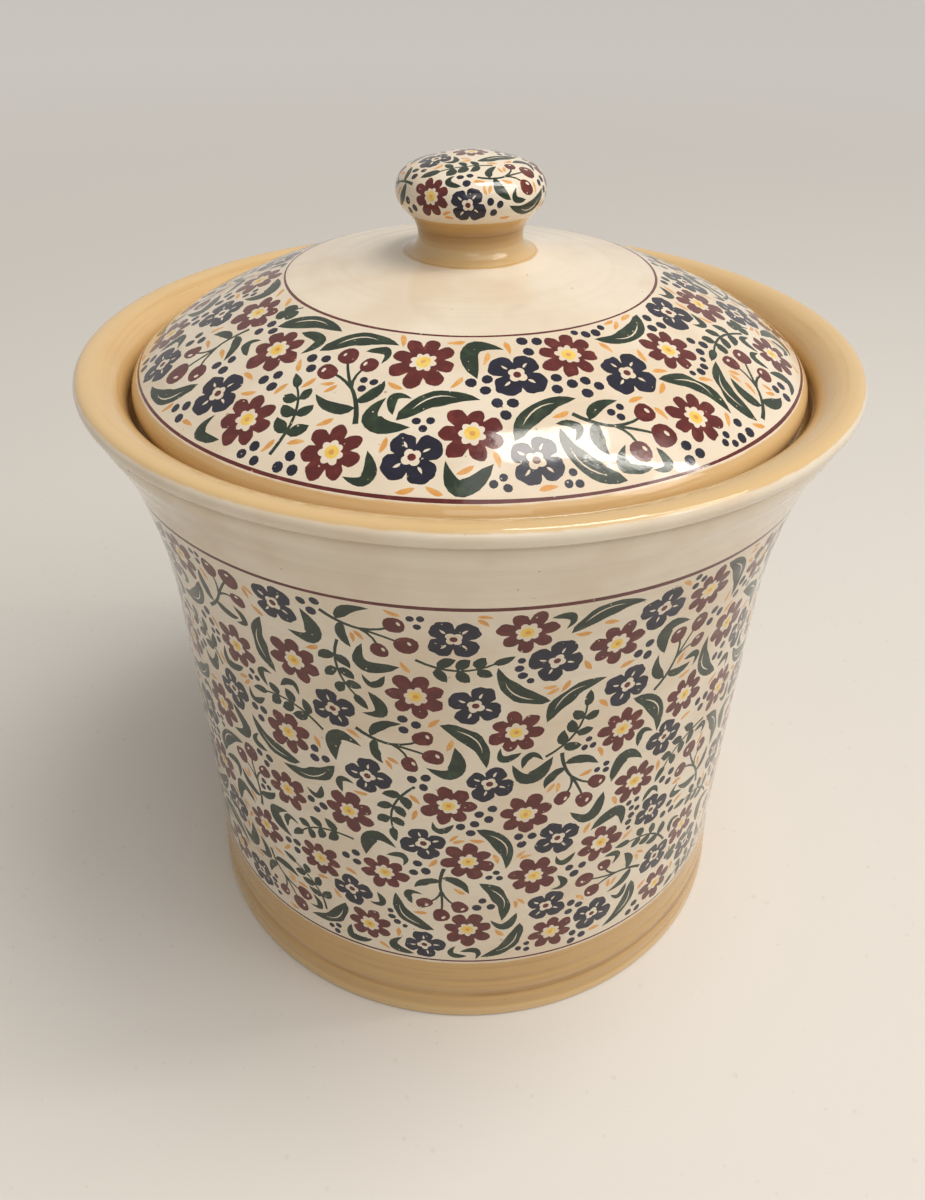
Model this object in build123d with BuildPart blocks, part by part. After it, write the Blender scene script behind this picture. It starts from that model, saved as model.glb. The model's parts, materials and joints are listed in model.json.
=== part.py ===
from build123d import *
import os

# Stoneware biscuit jar with a lift-off domed lid, in millimetres, +Z up.
# The origin is at the centre of the foot ring, on the surface that the jar stands on.
# All three pieces are turned about the Z axis, so each is a half section in the XZ plane, revolved:
# the pot with its beaded lip and the ledge inside its mouth, the lid with its collar, and the knob.
# Round stretches are arcs, each starting along the line or arc before it.

# ---- overall ------------------------------------------------------------------------------------
jar_h = 230.0            # foot to the top of the lip
lip_r = 130.0            # outside of the lip
flare_w = 19.4           # how far the lip stands out beyond the upright wall
foot_out = 0.3           # how far the foot stands out beyond the top of that wall

# ---- pot: foot ----------------------------------------------------------------------------------
foot_bevel = 0.8         # bevel turned on the foot's outer edge
foot_ring_w = 8.0        # width of the flat ring that the pot stands on
foot_recess = 3.0        # depth of the turned hollow inside that ring
foot_recess_lean = 2.5   # how far the side of the hollow leans inwards
foot_band_h = 32.3       # height of the turned band above the foot
foot_band_taper = 1.9    # how much narrower the pot is at the top of that band

# grooves turned in the foot band: height, depth and half width of each
foot_grooves = [(6.2, 0.3, 2.0), (12.7, 0.6, 3.0), (20.8, 0.3, 2.0)]

# ---- pot: wall ----------------------------------------------------------------------------------
wall = 7.0               # thickness of the thrown wall
floor_t = 8.0            # thickness of the floor above the hollow foot
cove_w = 15.0            # inside corner between floor and wall: width and height of the whole corner,
cove_h = 13.0
cove_turn_in = 3.9       # and where its wide arc meets the tighter one
cove_turn_h = 4.2
shoulder_drop = 85.5     # from the lip down to where the flare starts
line_drop = 31.5         # from the lip down to the decorating line on the flare
line_inset = 12.0        # how far that line lies inside the lip's outside
flare_wall = 9.6         # thickness there, where the wall starts to swell towards the ledge
brim_drop = 15.5         # from the lip down to where the flare turns upright again
brim_inset = 5.6

# ---- pot: lip, mouth and the ledge that carries the lid -----------------------------------------
lip_w = 15.2             # width of the lip, from its outside to the mouth wall
bead_r = 3.0             # radius of the bead that runs round the lip
crease_drop = 6.4        # from the lip down to the crease where the bead meets the flare
crease_inset = 3.0
roll_drop = 1.3          # the top of the lip falls gently inwards as far as here,
roll_in = 5.6
throat_drop = 11.9       # and then turns over into the mouth wall, which is upright from here
ledge_drop = 14.0        # from the lip down to the ledge
ledge_w = 9.2            # width of the ledge
ledge_face = 4.5         # upright face under the ledge's inner edge
ledge_edge = 1.2         # bevel on both corners of the ledge

# ---- lid ----------------------------------------------------------------------------------------
lid_gap = 1.5            # radial gap between the lid's edge and the mouth wall
edge_h = 4.7             # from the seat up to the widest point of the rolled edge
edge_under = 2.4         # how far the edge curls in below that point
edge_roll_h = 5.9        # from the widest point up to the decorating line
edge_roll_w = 2.7        # how far the decorating line lies inside the edge
dome_h = 42.6            # from the seat up to the flat that carries the knob
crown_share = 0.535      # inner decorating line, as a share of the lid's radius
crown_fall = 6.7         # how far that line lies below the flat
brow_share = 0.821       # where the outer slope turns over into the brow, as a share of that radius
brow_fall = 20.3
lid_wall = 6.5           # thickness of the dome
collar_gap = 2.1         # radial gap between the collar and the ledge's inner edge
collar_w = 5.5           # thickness of the collar
collar_h = 11.0          # how far the collar hangs below the seat
collar_edge = 1.6        # bevel on the collar's lower edges

# ---- knob ---------------------------------------------------------------------------------------
knob_seat_r = 20.9       # turned flat on the lid, and the underside of the knob's foot
knob_foot_r = 21.3       # flared foot
knob_foot_h = 0.4
knob_stem_r = 17.0       # narrowest part of the stem
knob_stem_h = 4.8
knob_under_r = 20.8      # where the stem turns into the underside of the cap
knob_under_h = 12.6
knob_cap_r = 23.9        # widest part of the cap
knob_cap_h = 18.8
knob_brow_r = 18.6       # where the side of the cap turns over into its top
knob_brow_h = 26.1
knob_h = 29.4            # height of the whole knob

# ---- sizes that follow --------------------------------------------------------------------------
body_r = lip_r - flare_w
foot_r = body_r + foot_out
mouth_r = lip_r - lip_w
ledge_z = jar_h - ledge_drop
ledge_in_r = mouth_r - ledge_w
lid_edge_r = mouth_r - lid_gap
collar_r = ledge_in_r - collar_gap
collar_in_r = collar_r - collar_w
crown_r = lid_edge_r * crown_share
brow_r = lid_edge_r * brow_share
lid_flat_z = ledge_z + dome_h

UP, DOWN, OUT, IN = (0, 1), (0, -1), (1, 0), (-1, 0)

os.makedirs("parts", exist_ok=True)


def foot_band_r(height):
    """Outside radius of the foot band at a height."""
    rise = (height - foot_bevel) / (foot_band_h - foot_bevel)
    return foot_r - foot_band_taper * rise


def knob_at(radius, height):
    """A point on the knob's section, from its height above the flat on the lid."""
    return (radius, lid_flat_z + height)


# ---- the pot ------------------------------------------------------------------------------------
# One closed half section: under the foot, up the outside, over the lip, down into the mouth,
# across the ledge, down the inside and along the floor.
with BuildPart() as jar_body:
    with BuildSketch(Plane.XZ) as pot_section:
        with BuildLine():
            # outside
            ring_in_r = foot_r - foot_bevel - foot_ring_w
            foot = Polyline(
                (0, foot_recess),
                (ring_in_r - foot_recess_lean, foot_recess),
                (ring_in_r, 0),
                (foot_r - foot_bevel, 0),
                (foot_r, foot_bevel),
                (foot_band_r(foot_band_h), foot_band_h),
            )
            upright = Line(foot @ 1, (body_r, jar_h - shoulder_drop))
            line_at = (lip_r - line_inset, jar_h - line_drop)
            flare = TangentArc(upright @ 1, line_at, tangent=upright % 1)
            brim_at = (lip_r - brim_inset, jar_h - brim_drop)
            brim = TangentArc(flare @ 1, brim_at, tangent=flare % 1)
            crease_at = (lip_r - crease_inset, jar_h - crease_drop)
            TangentArc(brim @ 1, crease_at, tangent=brim % 1)

            # lip
            TangentArc((lip_r, jar_h - bead_r), crease_at, tangent=DOWN)
            bead = TangentArc((lip_r, jar_h - bead_r), (lip_r - bead_r, jar_h), tangent=UP)
            roll = TangentArc(bead @ 1, bead @ 1 - (roll_in, roll_drop), tangent=IN)
            throat = TangentArc(roll @ 1, (mouth_r, jar_h - throat_drop), tangent=roll % 1)
            ledge = Polyline(
                throat @ 1,
                (mouth_r, ledge_z),
                (ledge_in_r, ledge_z),
                (ledge_in_r, ledge_z - ledge_face),
            )

            # inside
            floor_z = foot_recess + floor_t
            inside_r = foot_band_r(foot_band_h) - wall
            floor_at = (inside_r - cove_w, floor_z)
            cove = TangentArc(floor_at, (inside_r - cove_turn_in, floor_z + cove_turn_h), tangent=OUT)
            corner = TangentArc(cove @ 1, (inside_r, floor_z + cove_h), tangent=cove % 1)
            inside = Line(corner @ 1, (body_r - wall, jar_h - shoulder_drop))
            swell_at = (lip_r - line_inset - flare_wall, jar_h - line_drop)
            swell = Line(inside @ 1, swell_at)
            TangentArc(swell @ 1, ledge @ 1, tangent=swell % 1)
            Polyline(floor_at, (0, floor_z), foot @ 0)
        make_face()
        corners = pot_section.vertices().filter_by_position(Axis.Y, ledge_z, ledge_z)
        chamfer(corners, length=ledge_edge)
    revolve(axis=Axis.Z)

    # shallow rounded grooves turned in the foot band
    with BuildSketch(Plane.XZ):
        for height, depth, half_w in foot_grooves:
            tool_r = (half_w**2 + depth**2) / (2 * depth)
            with Locations((foot_band_r(height) - depth + tool_r, height)):
                Circle(tool_r)
    revolve(axis=Axis.Z, mode=Mode.SUBTRACT)
jar_body.part.label = "jar_body"
export_step(jar_body.part, "parts/jar_body.step")


# ---- the lid ------------------------------------------------------------------------------------
# The seat rests on the ledge and the collar hangs inside it. The underside of the dome follows
# its top, one wall thickness below.
with BuildPart() as lid:
    with BuildSketch(Plane.XZ) as lid_section:
        with BuildLine():
            # top
            widest = (lid_edge_r, ledge_z + edge_h)
            under_edge = TangentArc(widest, (lid_edge_r - edge_under, ledge_z), tangent=DOWN)
            edge_line = (lid_edge_r - edge_roll_w, ledge_z + edge_h + edge_roll_h)
            edge = TangentArc(widest, edge_line, tangent=UP)
            slope = TangentArc(edge @ 1, (brow_r, lid_flat_z - brow_fall), tangent=edge % 1)
            brow = TangentArc(slope @ 1, (crown_r, lid_flat_z - crown_fall), tangent=slope % 1)
            Polyline(brow @ 1, (knob_seat_r, lid_flat_z), (0, lid_flat_z))

            # underside
            hollow = Polyline(
                (0, lid_flat_z),
                (0, lid_flat_z - lid_wall),
                (knob_seat_r, lid_flat_z - lid_wall),
                brow @ 1 + (brow % 1).rotate(Axis.Z, 90) * lid_wall,
            )
            brow_in_at = brow @ 0 + (brow % 0).rotate(Axis.Z, 90) * lid_wall
            inner_brow = TangentArc(hollow @ 1, brow_in_at, tangent=(brow % 1) * -1)
            fall = inner_brow % 1
            reach = collar_in_r - brow_in_at.X
            Polyline(
                brow_in_at,
                (collar_in_r, brow_in_at.Y + reach * fall.Y / fall.X),
                (collar_in_r, ledge_z - collar_h),
                (collar_r, ledge_z - collar_h),
                (collar_r, ledge_z),
                under_edge @ 1,
            )
        make_face()
        collar_z = ledge_z - collar_h
        corners = lid_section.vertices().filter_by_position(Axis.Y, collar_z, collar_z)
        chamfer(corners, length=collar_edge)
    revolve(axis=Axis.Z)
lid.part.label = "lid"
export_step(lid.part, "parts/lid.step")


# ---- the knob -----------------------------------------------------------------------------------
with BuildPart() as lid_knob:
    with BuildSketch(Plane.XZ):
        with BuildLine():
            seat = Polyline(knob_at(0, 0), knob_at(knob_seat_r, 0), knob_at(knob_foot_r, knob_foot_h))
            narrowest = knob_at(knob_stem_r, knob_stem_h)
            under = knob_at(knob_under_r, knob_under_h)
            rim = knob_at(knob_cap_r, knob_cap_h)
            cap_brow = knob_at(knob_brow_r, knob_brow_h)
            TangentArc(narrowest, seat @ 1, tangent=DOWN)
            TangentArc(narrowest, under, tangent=UP)
            TangentArc(rim, under, tangent=DOWN)
            TangentArc(rim, cap_brow, tangent=UP)
            TangentArc(knob_at(0, knob_h), cap_brow, tangent=OUT)
            Line(knob_at(0, knob_h), knob_at(0, 0))
        make_face()
    revolve(axis=Axis.Z)
lid_knob.part.label = "lid_knob"
export_step(lid_knob.part, "parts/lid_knob.step")
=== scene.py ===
"""Glazes and sponge decoration for a stoneware biscuit jar: the turned pot, its domed lid and the knob.

Sections and motifs are drawn in millimetres. Meshes, lamps and the camera are in metres.
"""

import json
import logging
import math
from dataclasses import dataclass, field
from enum import Enum
from itertools import product
from typing import Any, ClassVar, Sequence

import bpy
import numpy as np
from mathutils import Matrix, Vector, geometry

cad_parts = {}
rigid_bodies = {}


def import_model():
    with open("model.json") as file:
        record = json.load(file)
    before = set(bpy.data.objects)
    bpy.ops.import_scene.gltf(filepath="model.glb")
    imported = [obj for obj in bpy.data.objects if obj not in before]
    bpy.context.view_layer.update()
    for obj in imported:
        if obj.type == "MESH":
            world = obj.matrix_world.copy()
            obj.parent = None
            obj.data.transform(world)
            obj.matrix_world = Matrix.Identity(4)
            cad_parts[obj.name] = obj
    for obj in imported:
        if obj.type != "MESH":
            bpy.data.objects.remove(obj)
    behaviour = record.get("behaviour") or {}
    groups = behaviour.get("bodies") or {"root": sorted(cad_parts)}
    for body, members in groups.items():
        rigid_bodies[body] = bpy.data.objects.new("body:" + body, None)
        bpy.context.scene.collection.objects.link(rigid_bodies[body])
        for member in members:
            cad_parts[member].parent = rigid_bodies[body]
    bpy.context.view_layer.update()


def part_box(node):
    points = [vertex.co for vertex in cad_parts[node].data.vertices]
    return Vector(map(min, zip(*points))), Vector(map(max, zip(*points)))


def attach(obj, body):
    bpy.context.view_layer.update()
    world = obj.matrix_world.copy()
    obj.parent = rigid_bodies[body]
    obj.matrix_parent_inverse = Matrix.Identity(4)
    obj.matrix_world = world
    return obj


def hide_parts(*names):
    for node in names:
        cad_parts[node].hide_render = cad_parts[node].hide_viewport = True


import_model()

MM = 0.001
TURN = 2 * math.pi
SEED = 20
log = logging.getLogger("biscuit_jar")

Colour = tuple[float, float, float, float]
Pair = tuple[float, float]
Triple = tuple[float, float, float]
Outline = np.ndarray


# ---- colours and inks ---------------------------------------------------------------------------
def tone(red: int, green: int, blue: int) -> Colour:
    """The linear colour for one given as 0 to 255 on a screen.

    Args:
        red: Its red.
        green: Its green.
        blue: Its blue.

    Returns:
        The colour, with full cover.
    """
    shares = [part / 255 for part in (red, green, blue)]
    linear = [s / 12.92 if s <= 0.04045 else ((s + 0.055) / 1.055) ** 2.4 for s in shares]
    return (*linear, 1.0)


class Ink(Enum):
    """Colours that the decorator prints with. SLIP leaves the cream ground bare inside a shape."""

    SLIP = 0
    MAROON = 1
    NAVY = 2
    GREEN = 3
    OCHRE = 4
    YELLOW = 5


class Heading(float, Enum):
    """Directions in a half section, as angles from straight out."""

    UP = math.pi / 2
    IN = math.pi


# ---- shader wiring ------------------------------------------------------------------------------
class Value:
    """A shader socket that takes part in Python expressions."""

    def __init__(self, shader: "Shader", socket: bpy.types.NodeSocket) -> None:
        """Keeps a socket and the shader that it belongs to."""
        self.shader = shader
        self.socket = socket

    def __add__(self, other: "Value | float") -> "Value":
        """Sum."""
        return self.shader.maths("ADD", self, other)

    def __sub__(self, other: "Value | float") -> "Value":
        """Difference."""
        return self.shader.maths("SUBTRACT", self, other)

    def __rsub__(self, other: float) -> "Value":
        """Difference from a plain number."""
        return self.shader.maths("SUBTRACT", other, self)

    def __mul__(self, other: "Value | float") -> "Value":
        """Product."""
        return self.shader.maths("MULTIPLY", self, other)

    def __pow__(self, other: float) -> "Value":
        """Power."""
        return self.shader.maths("POWER", self, other)

    def __rpow__(self, other: float) -> "Value":
        """Power of a plain number."""
        return self.shader.maths("POWER", other, self)

    __radd__ = __add__
    __rmul__ = __mul__


@dataclass(frozen=True)
class Specks:
    """Scattered round dots of different sizes.

    Attributes:
        spacing: How far apart they are, in millimetres.
        largest: The largest dot's radius, as a share of that.
        strength: How much of their colour shows.
    """

    spacing: float
    largest: float
    strength: float


class Shader:
    """A node tree under construction."""

    WHEEL_SHARE = 0.025
    BREAK_UP = 0.55
    GLAZE_IOR = 1.52

    def __init__(self, tree: bpy.types.NodeTree) -> None:
        """Starts with an empty tree.

        Args:
            tree: The tree of a material or a world.
        """
        self.tree = tree
        self.tree.nodes.clear()

    def node(
        self,
        kind: str,
        settings: dict[str, Any] | None = None,
        values: dict[int | str, Any] | None = None,
        output: int | str = 0,
    ) -> Value:
        """Adds a node.

        Args:
            kind: Its type.
            settings: Its own settings, which are set first.
            values: Links or plain values for its sockets.
            output: Which output is wanted.

        Returns:
            That output.
        """
        made = self.tree.nodes.new(kind)
        for key, setting in (settings or {}).items():
            setattr(made, key, setting)
        for key, value in (values or {}).items():
            if isinstance(value, Value):
                self.tree.links.new(value.socket, made.inputs[key])
            else:
                made.inputs[key].default_value = value
        return Value(self, made.outputs[output] if len(made.outputs) else None)

    def maths(self, operation: str, *values: Value | float) -> Value:
        """A Math node."""
        return self.node("ShaderNodeMath", {"operation": operation}, dict(enumerate(values)))

    def mix(self, share: Value | float, first: Any, second: Any) -> Value:
        """The first colour where share is 0 and the second where it is 1."""
        return self.node("ShaderNodeMix", {"data_type": "RGBA"}, {0: share, 6: first, 7: second}, 2)

    def ease(self, value: Value, low: float, high: float) -> Value:
        """Rises smoothly from 0 to 1 while value goes from low to high."""
        values = {0: value, 1: low, 2: high, 3: 0.0, 4: 1.0}
        return self.node("ShaderNodeMapRange", {"interpolation_type": "SMOOTHSTEP"}, values)

    def painted(self, name: str) -> Value:
        """A number that the mesh carries."""
        return self.node("ShaderNodeAttribute", {"attribute_name": name}, output="Fac")

    def place(self) -> Value:
        """The point on the piece, in millimetres."""
        point = self.node("ShaderNodeTexCoord", output="Object")
        return self.node("ShaderNodeVectorMath", {"operation": "SCALE"}, {0: point, "Scale": 1 / MM})

    def wheel_place(self) -> Value:
        """A point that hardly changes round the wheel and fully along the section.

        Returns:
            That point, for noise.
        """
        point = self.node("ShaderNodeSeparateXYZ", {}, {0: self.place()})
        across = Value(self, point.socket.node.outputs[1])
        values = {0: point * self.WHEEL_SHARE, 1: across * self.WHEEL_SHARE, 2: self.painted("run")}
        return self.node("ShaderNodeCombineXYZ", {}, values)

    def noise(self, place: Value, size: float, detail: float = 2.0) -> Value:
        """Soft noise about 0.5 whose lumps lie some millimetres apart."""
        values = {"Vector": place, "Scale": 1 / size, "Detail": detail, "Roughness": self.BREAK_UP}
        return self.node("ShaderNodeTexNoise", {}, values)

    def speckled(self, place: Value, specks: Specks, colour: Any, speck: Colour) -> Value:
        """A colour with specks of another on it.

        Args:
            place: Where on the piece.
            specks: How the specks lie.
            colour: The colour under them.
            speck: Their own.

        Returns:
            The colour of the whole.
        """
        near = self.node("ShaderNodeTexVoronoi", {}, {"Vector": place, "Scale": 1 / specks.spacing})
        pick = Value(self, near.socket.node.outputs["Color"])
        red = self.node("ShaderNodeSeparateColor", {}, {0: pick})
        dots = self.maths("LESS_THAN", near, (red**4) * specks.largest)
        return self.mix(dots * specks.strength, colour, speck)

    def surface(self, colour: Value, roughness: Value, height: Value, depth: float) -> None:
        """Ends the tree in a glossy surface.

        Args:
            colour: Its colour.
            roughness: Its roughness.
            height: Relief from 0 to 1.
            depth: How deep that relief is, in millimetres.
        """
        normal = self.node("ShaderNodeBump", {}, {"Height": height, "Distance": depth * MM})
        values = {"Base Color": colour, "Roughness": roughness, "Normal": normal, "IOR": self.GLAZE_IOR}
        face = self.node("ShaderNodeBsdfPrincipled", {}, values)
        self.node("ShaderNodeOutputMaterial", {}, {0: face})


def new_shader(name: str) -> tuple[bpy.types.Material, Shader]:
    """A new material and its shader.

    Args:
        name: Name of the material.

    Returns:
        The material, and a shader to build it with.
    """
    material = bpy.data.materials.new(name)
    material.use_nodes = True
    return material, Shader(material.node_tree)


@dataclass(frozen=True)
class Stoneware:
    """The body's finish: cream slip with pooled glaze and painted shade in its hollows, honey glaze where the
    mesh says so, and clay where it was wiped bare.

    Attributes:
        gloss: Roughness of the glaze.
        gloss_spread: How far it varies.
        dry: Roughness of the bare clay.
        wave_depth: Relief of the glaze, in millimetres.
        cloud: Size of the soft patches in slip and glaze.
        streak: Height of the marks that a brush left on the wheel.
        streak_share: How much they show in the slip.
        grain: Size of the clay's grain.
        edge: Size of the waves in the honey glaze's edge.
        waves: Sizes of the broad and the fine waves in the glaze.
        fine_share: How high the fine ones are.
        cloud_span: Noise between which the slip turns warm.
        streak_span: Noise between which a brush mark comes up.
        pool_and_shade_span: Pooling between which the slip turns dark, partly as pooled glaze and partly as
            painted shade.
        flow_shares: How much brush marks and patches add to the pooling of the honey glaze.
        deep_span: Pooling between which that glaze turns deep.
        thin_span: Pooling between which it turns thin.
        grain_span: Noise between which the clay turns dark.
        honey_span: Distance over which the honey glaze ends.
        bare_span: Distance over which the bare clay ends.
    """

    slip: Colour = tone(229, 217, 197)
    slip_warm: Colour = tone(221, 204, 180)
    # Slip darkened in hollows and in the crease under the bead: partly pooled glaze, partly painted shade.
    slip_pooled_and_shaded: Colour = tone(172, 154, 130)
    slip_streak: Colour = tone(204, 190, 168)
    speck: Colour = tone(150, 116, 80)
    honey: Colour = tone(200, 163, 108)
    honey_thin: Colour = tone(214, 182, 131)
    honey_deep: Colour = tone(150, 110, 62)
    clay: Colour = tone(205, 182, 150)
    clay_dark: Colour = tone(176, 148, 114)
    slip_specks: Specks = Specks(4.5, 0.11, 0.6)
    honey_specks: Specks = Specks(3.2, 0.1, 0.5)
    gloss: float = 0.075
    gloss_spread: float = 0.05
    dry: float = 0.72
    wave_depth: float = 0.07
    cloud: float = 38.0
    streak: float = 2.6
    streak_share: float = 0.16
    grain: float = 0.9
    edge: float = 7.0
    waves: Pair = (9.0, 2.2)
    fine_share: float = 0.22
    cloud_span: Pair = (0.4, 0.66)
    streak_span: Pair = (0.46, 0.72)
    pool_and_shade_span: Pair = (0.05, 1.1)
    flow_shares: Pair = (0.35, 0.6)
    deep_span: Pair = (-0.05, 0.9)
    thin_span: Pair = (-0.1, -0.9)
    grain_span: Pair = (0.35, 0.7)
    honey_span: Pair = (-0.45, 0.45)
    bare_span: Pair = (-0.3, 0.3)

    def material(self) -> bpy.types.Material:
        """Builds the material.

        Returns:
            The material.
        """
        material, shader = new_shader("stoneware")
        place, wheel = shader.place(), shader.wheel_place()
        pool_and_shade = shader.painted("pool_and_shade")
        cloud = shader.noise(place, self.cloud, 3)
        streak = shader.ease(shader.noise(wheel, self.streak, 3), *self.streak_span)
        cream = shader.mix(shader.ease(cloud, *self.cloud_span), self.slip, self.slip_warm)
        cream = shader.mix(streak * self.streak_share, cream, self.slip_streak)
        # Darker slip in hollows and creases: pooled glaze and painted shade.
        cream = shader.mix(shader.ease(pool_and_shade, *self.pool_and_shade_span), cream, self.slip_pooled_and_shaded)
        cream = shader.speckled(place, self.slip_specks, cream, self.speck)

        by_streak, by_cloud = self.flow_shares
        flow = pool_and_shade + (streak - 0.5) * by_streak + (cloud - 0.5) * by_cloud
        honey = shader.mix(shader.ease(flow, *self.deep_span), self.honey, self.honey_deep)
        honey = shader.mix(shader.ease(flow, *self.thin_span), honey, self.honey_thin)
        honey = shader.speckled(place, self.honey_specks, honey, self.honey_deep)

        grain = shader.noise(place, self.grain, 3)
        clay = shader.mix(shader.ease(grain, *self.grain_span), self.clay, self.clay_dark)
        edge = shader.noise(place, self.edge, 2) - 0.5
        glazed = shader.mix(shader.ease(shader.painted("honey") + edge, *self.honey_span), cream, honey)
        bare = shader.ease(shader.painted("bare") + edge, *self.bare_span)
        colour = shader.mix(bare, glazed, clay)
        shine = cloud * self.gloss_spread + (self.gloss - self.gloss_spread / 2)
        roughness = bare * (self.dry - self.gloss) + shine
        broad, fine = self.waves
        wave = shader.noise(place, broad, 2) + shader.noise(place, fine, 1) * self.fine_share
        height = wave * (1 - bare) + grain * bare
        shader.surface(colour, roughness, height, self.wave_depth)
        return material


@dataclass(frozen=True)
class PrintedInk:
    """An ink under the clear glaze, printed with a sponge, so that it is mottled and has pinholes.

    Attributes:
        ink: Which ink it is.
        full: Its colour where the sponge pressed hard.
        thin: Its colour where it pressed lightly.
        ground: What shows through the pinholes.
        mottle: Size of the patches.
        thin_span: Noise between which the ink turns thin.
        pinholes: How the pinholes lie.
        gloss: Roughness of the glaze over it.
        gloss_spread: How far that varies.
        waves: Sizes of the broad and the fine waves in that glaze.
        fine_share: How high the fine ones are.
    """

    ink: Ink
    full: Colour
    thin: Colour
    ground: Colour = Stoneware.slip_warm
    mottle: float = 3.4
    thin_span: Pair = (0.44, 0.8)
    pinholes: Specks = Specks(1.7, 0.2, 0.7)
    gloss: float = 0.03
    gloss_spread: float = 0.16
    waves: Pair = (9.0, 1.3)
    fine_share: float = 0.3

    def material(self) -> bpy.types.Material:
        """Builds the material.

        Returns:
            The material.
        """
        material, shader = new_shader(f"ink_{self.ink.name.lower()}")
        place = shader.place()
        patch = shader.noise(place, self.mottle, 4)
        colour = shader.mix(shader.ease(patch, *self.thin_span), self.full, self.thin)
        colour = shader.speckled(place, self.pinholes, colour, self.ground)
        broad, fine = self.waves
        wave = shader.noise(place, broad, 2) + shader.noise(place, fine, 2) * self.fine_share
        shader.surface(colour, patch * self.gloss_spread + self.gloss, wave, Stoneware.wave_depth)
        return material


def finishes() -> list[bpy.types.Material]:
    """Builds every material.

    Returns:
        The stoneware first, and then the inks by their numbers.
    """
    inks = (
        PrintedInk(Ink.MAROON, tone(88, 21, 18), tone(113, 41, 34)),
        PrintedInk(Ink.NAVY, tone(17, 16, 37), tone(31, 30, 58)),
        PrintedInk(Ink.GREEN, tone(27, 43, 27), tone(48, 68, 43)),
        PrintedInk(Ink.OCHRE, tone(214, 152, 76), tone(226, 180, 112)),
        PrintedInk(Ink.YELLOW, tone(232, 194, 82), tone(238, 216, 132)),
    )
    return [Stoneware().material(), *(ink.material() for ink in inks)]


# ---- half sections ------------------------------------------------------------------------------
class Contour:
    """A half section, drawn from the axis underneath, outwards, round and back to the axis above.

    The clay lies on its left, and each arc starts along the stretch before it unless it says otherwise.
    """

    STEP = 0.25

    def __init__(self, radius: float, height: float) -> None:
        """Puts the pencil down.

        Args:
            radius: Distance of the first point from the axis.
            height: Its height.
        """
        self.stretches = [np.array([[radius, height]], float)]
        self.marks: dict[str, int] = {}
        self.heading = 0.0

    @property
    def end(self) -> np.ndarray:
        """Where the pencil is."""
        return self.stretches[-1][-1]

    def line(self, *stops: Pair) -> "Contour":
        """Straight stretches through some points.

        Args:
            *stops: Radius and height of each point.

        Returns:
            The outline itself.
        """
        for stop in stops:
            way = np.subtract(stop, self.end)
            self.heading = math.atan2(way[1], way[0])
            steps = math.ceil(math.hypot(*way) / self.STEP)
            self.stretches.append(self.end + np.outer(np.linspace(0, 1, steps + 1)[1:], way))
        return self

    def arc(self, radius: float, height: float, heading: float | None = None) -> "Contour":
        """An arc to a point.

        Args:
            radius: The point's distance from the axis.
            height: Its height.
            heading: The direction in which the arc sets out, if it isn't the last one's.

        Returns:
            The contour.
        """
        way = np.subtract((radius, height), self.end)
        begin = self.heading if heading is None else float(heading)
        half = (math.atan2(way[1], way[0]) - begin + math.pi) % TURN - math.pi
        chord = math.hypot(*way)
        share = np.linspace(0, 1, math.ceil(chord / self.STEP) + 1)[1:]
        reach = chord * (np.sin(half * share) / math.sin(half) if abs(half) > 1e-6 else share)
        points = np.stack([np.cos(begin + half * share), np.sin(begin + half * share)], 1)
        self.stretches.append(self.end + reach[:, None] * points)
        self.heading = begin + 2 * half
        return self

    def arc_into(self, radius: float, height: float, heading: float) -> "Contour":
        """An arc that reaches a point in the given direction."""
        way = np.subtract((radius, height), self.end)
        return self.arc(radius, height, 2 * math.atan2(way[1], way[0]) - float(heading))

    def mark(self, name: str) -> "Contour":
        """Names the place where the pencil is."""
        self.marks[name] = sum(map(len, self.stretches)) - 1
        return self


class Section:
    """A contour with its corners softened as glaze softens them, read by the distance run along it."""

    SOFT_REACH = 4
    HOLLOW_REACH = 9.0

    def __init__(self, contour: Contour, soft: float) -> None:
        """Softens a contour.

        Args:
            contour: The drawn half section.
            soft: How far the softening reaches, in millimetres.
        """
        drawn = np.concatenate(contour.stretches)
        reach = int(self.SOFT_REACH * soft / Contour.STEP)
        weight = np.exp(-0.5 * (np.arange(-reach, reach + 1) * Contour.STEP / soft) ** 2)
        weight /= weight.sum()
        far_side = np.array([-1, 1])
        line = np.concatenate([drawn[reach:0:-1] * far_side, drawn, drawn[-2 : -reach - 2 : -1] * far_side])
        self.radius, self.height = (np.convolve(line[:, k], weight, "valid") for k in (0, 1))
        self.radius[[0, -1]] = 0.0
        steps = np.hypot(np.diff(self.radius), np.diff(self.height))
        self.run = np.concatenate([[0.0], np.cumsum(steps)])
        self.heading = np.unwrap(np.arctan2(np.gradient(self.height), np.gradient(self.radius)))
        self.bend = np.gradient(self.heading, self.run)
        self.marks = {name: float(self.run[k]) for name, k in contour.marks.items()}
        self.marks["end"] = float(self.run[-1])
        width = int(self.HOLLOW_REACH / Contour.STEP)
        near = np.hanning(2 * width + 1)
        padded = np.pad(self.bend, width, mode="edge")
        self.hollow = -np.convolve(padded, near / near.sum(), "valid")

    def rows(self, first: float, last: float, step: float, turn: float) -> np.ndarray:
        """Runs of the rows from first to last, which lie closer where the section bends.

        Args:
            first: The run where they start.
            last: The run where they end.
            step: Greatest distance between two.
            turn: Greatest turn between two.

        Returns:
            Their runs, with both ends.
        """
        inside = (self.run > first) & (self.run < last)
        run = np.concatenate([[first], self.run[inside], [last]])
        load = 1 / step + np.abs(np.interp(run, self.run, self.bend)) / turn
        total = np.concatenate([[0], np.cumsum(np.diff(run) * (load[1:] + load[:-1]) / 2)])
        return np.interp(np.linspace(0, total[-1], max(2, math.ceil(total[-1])) + 1), total, run)


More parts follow.
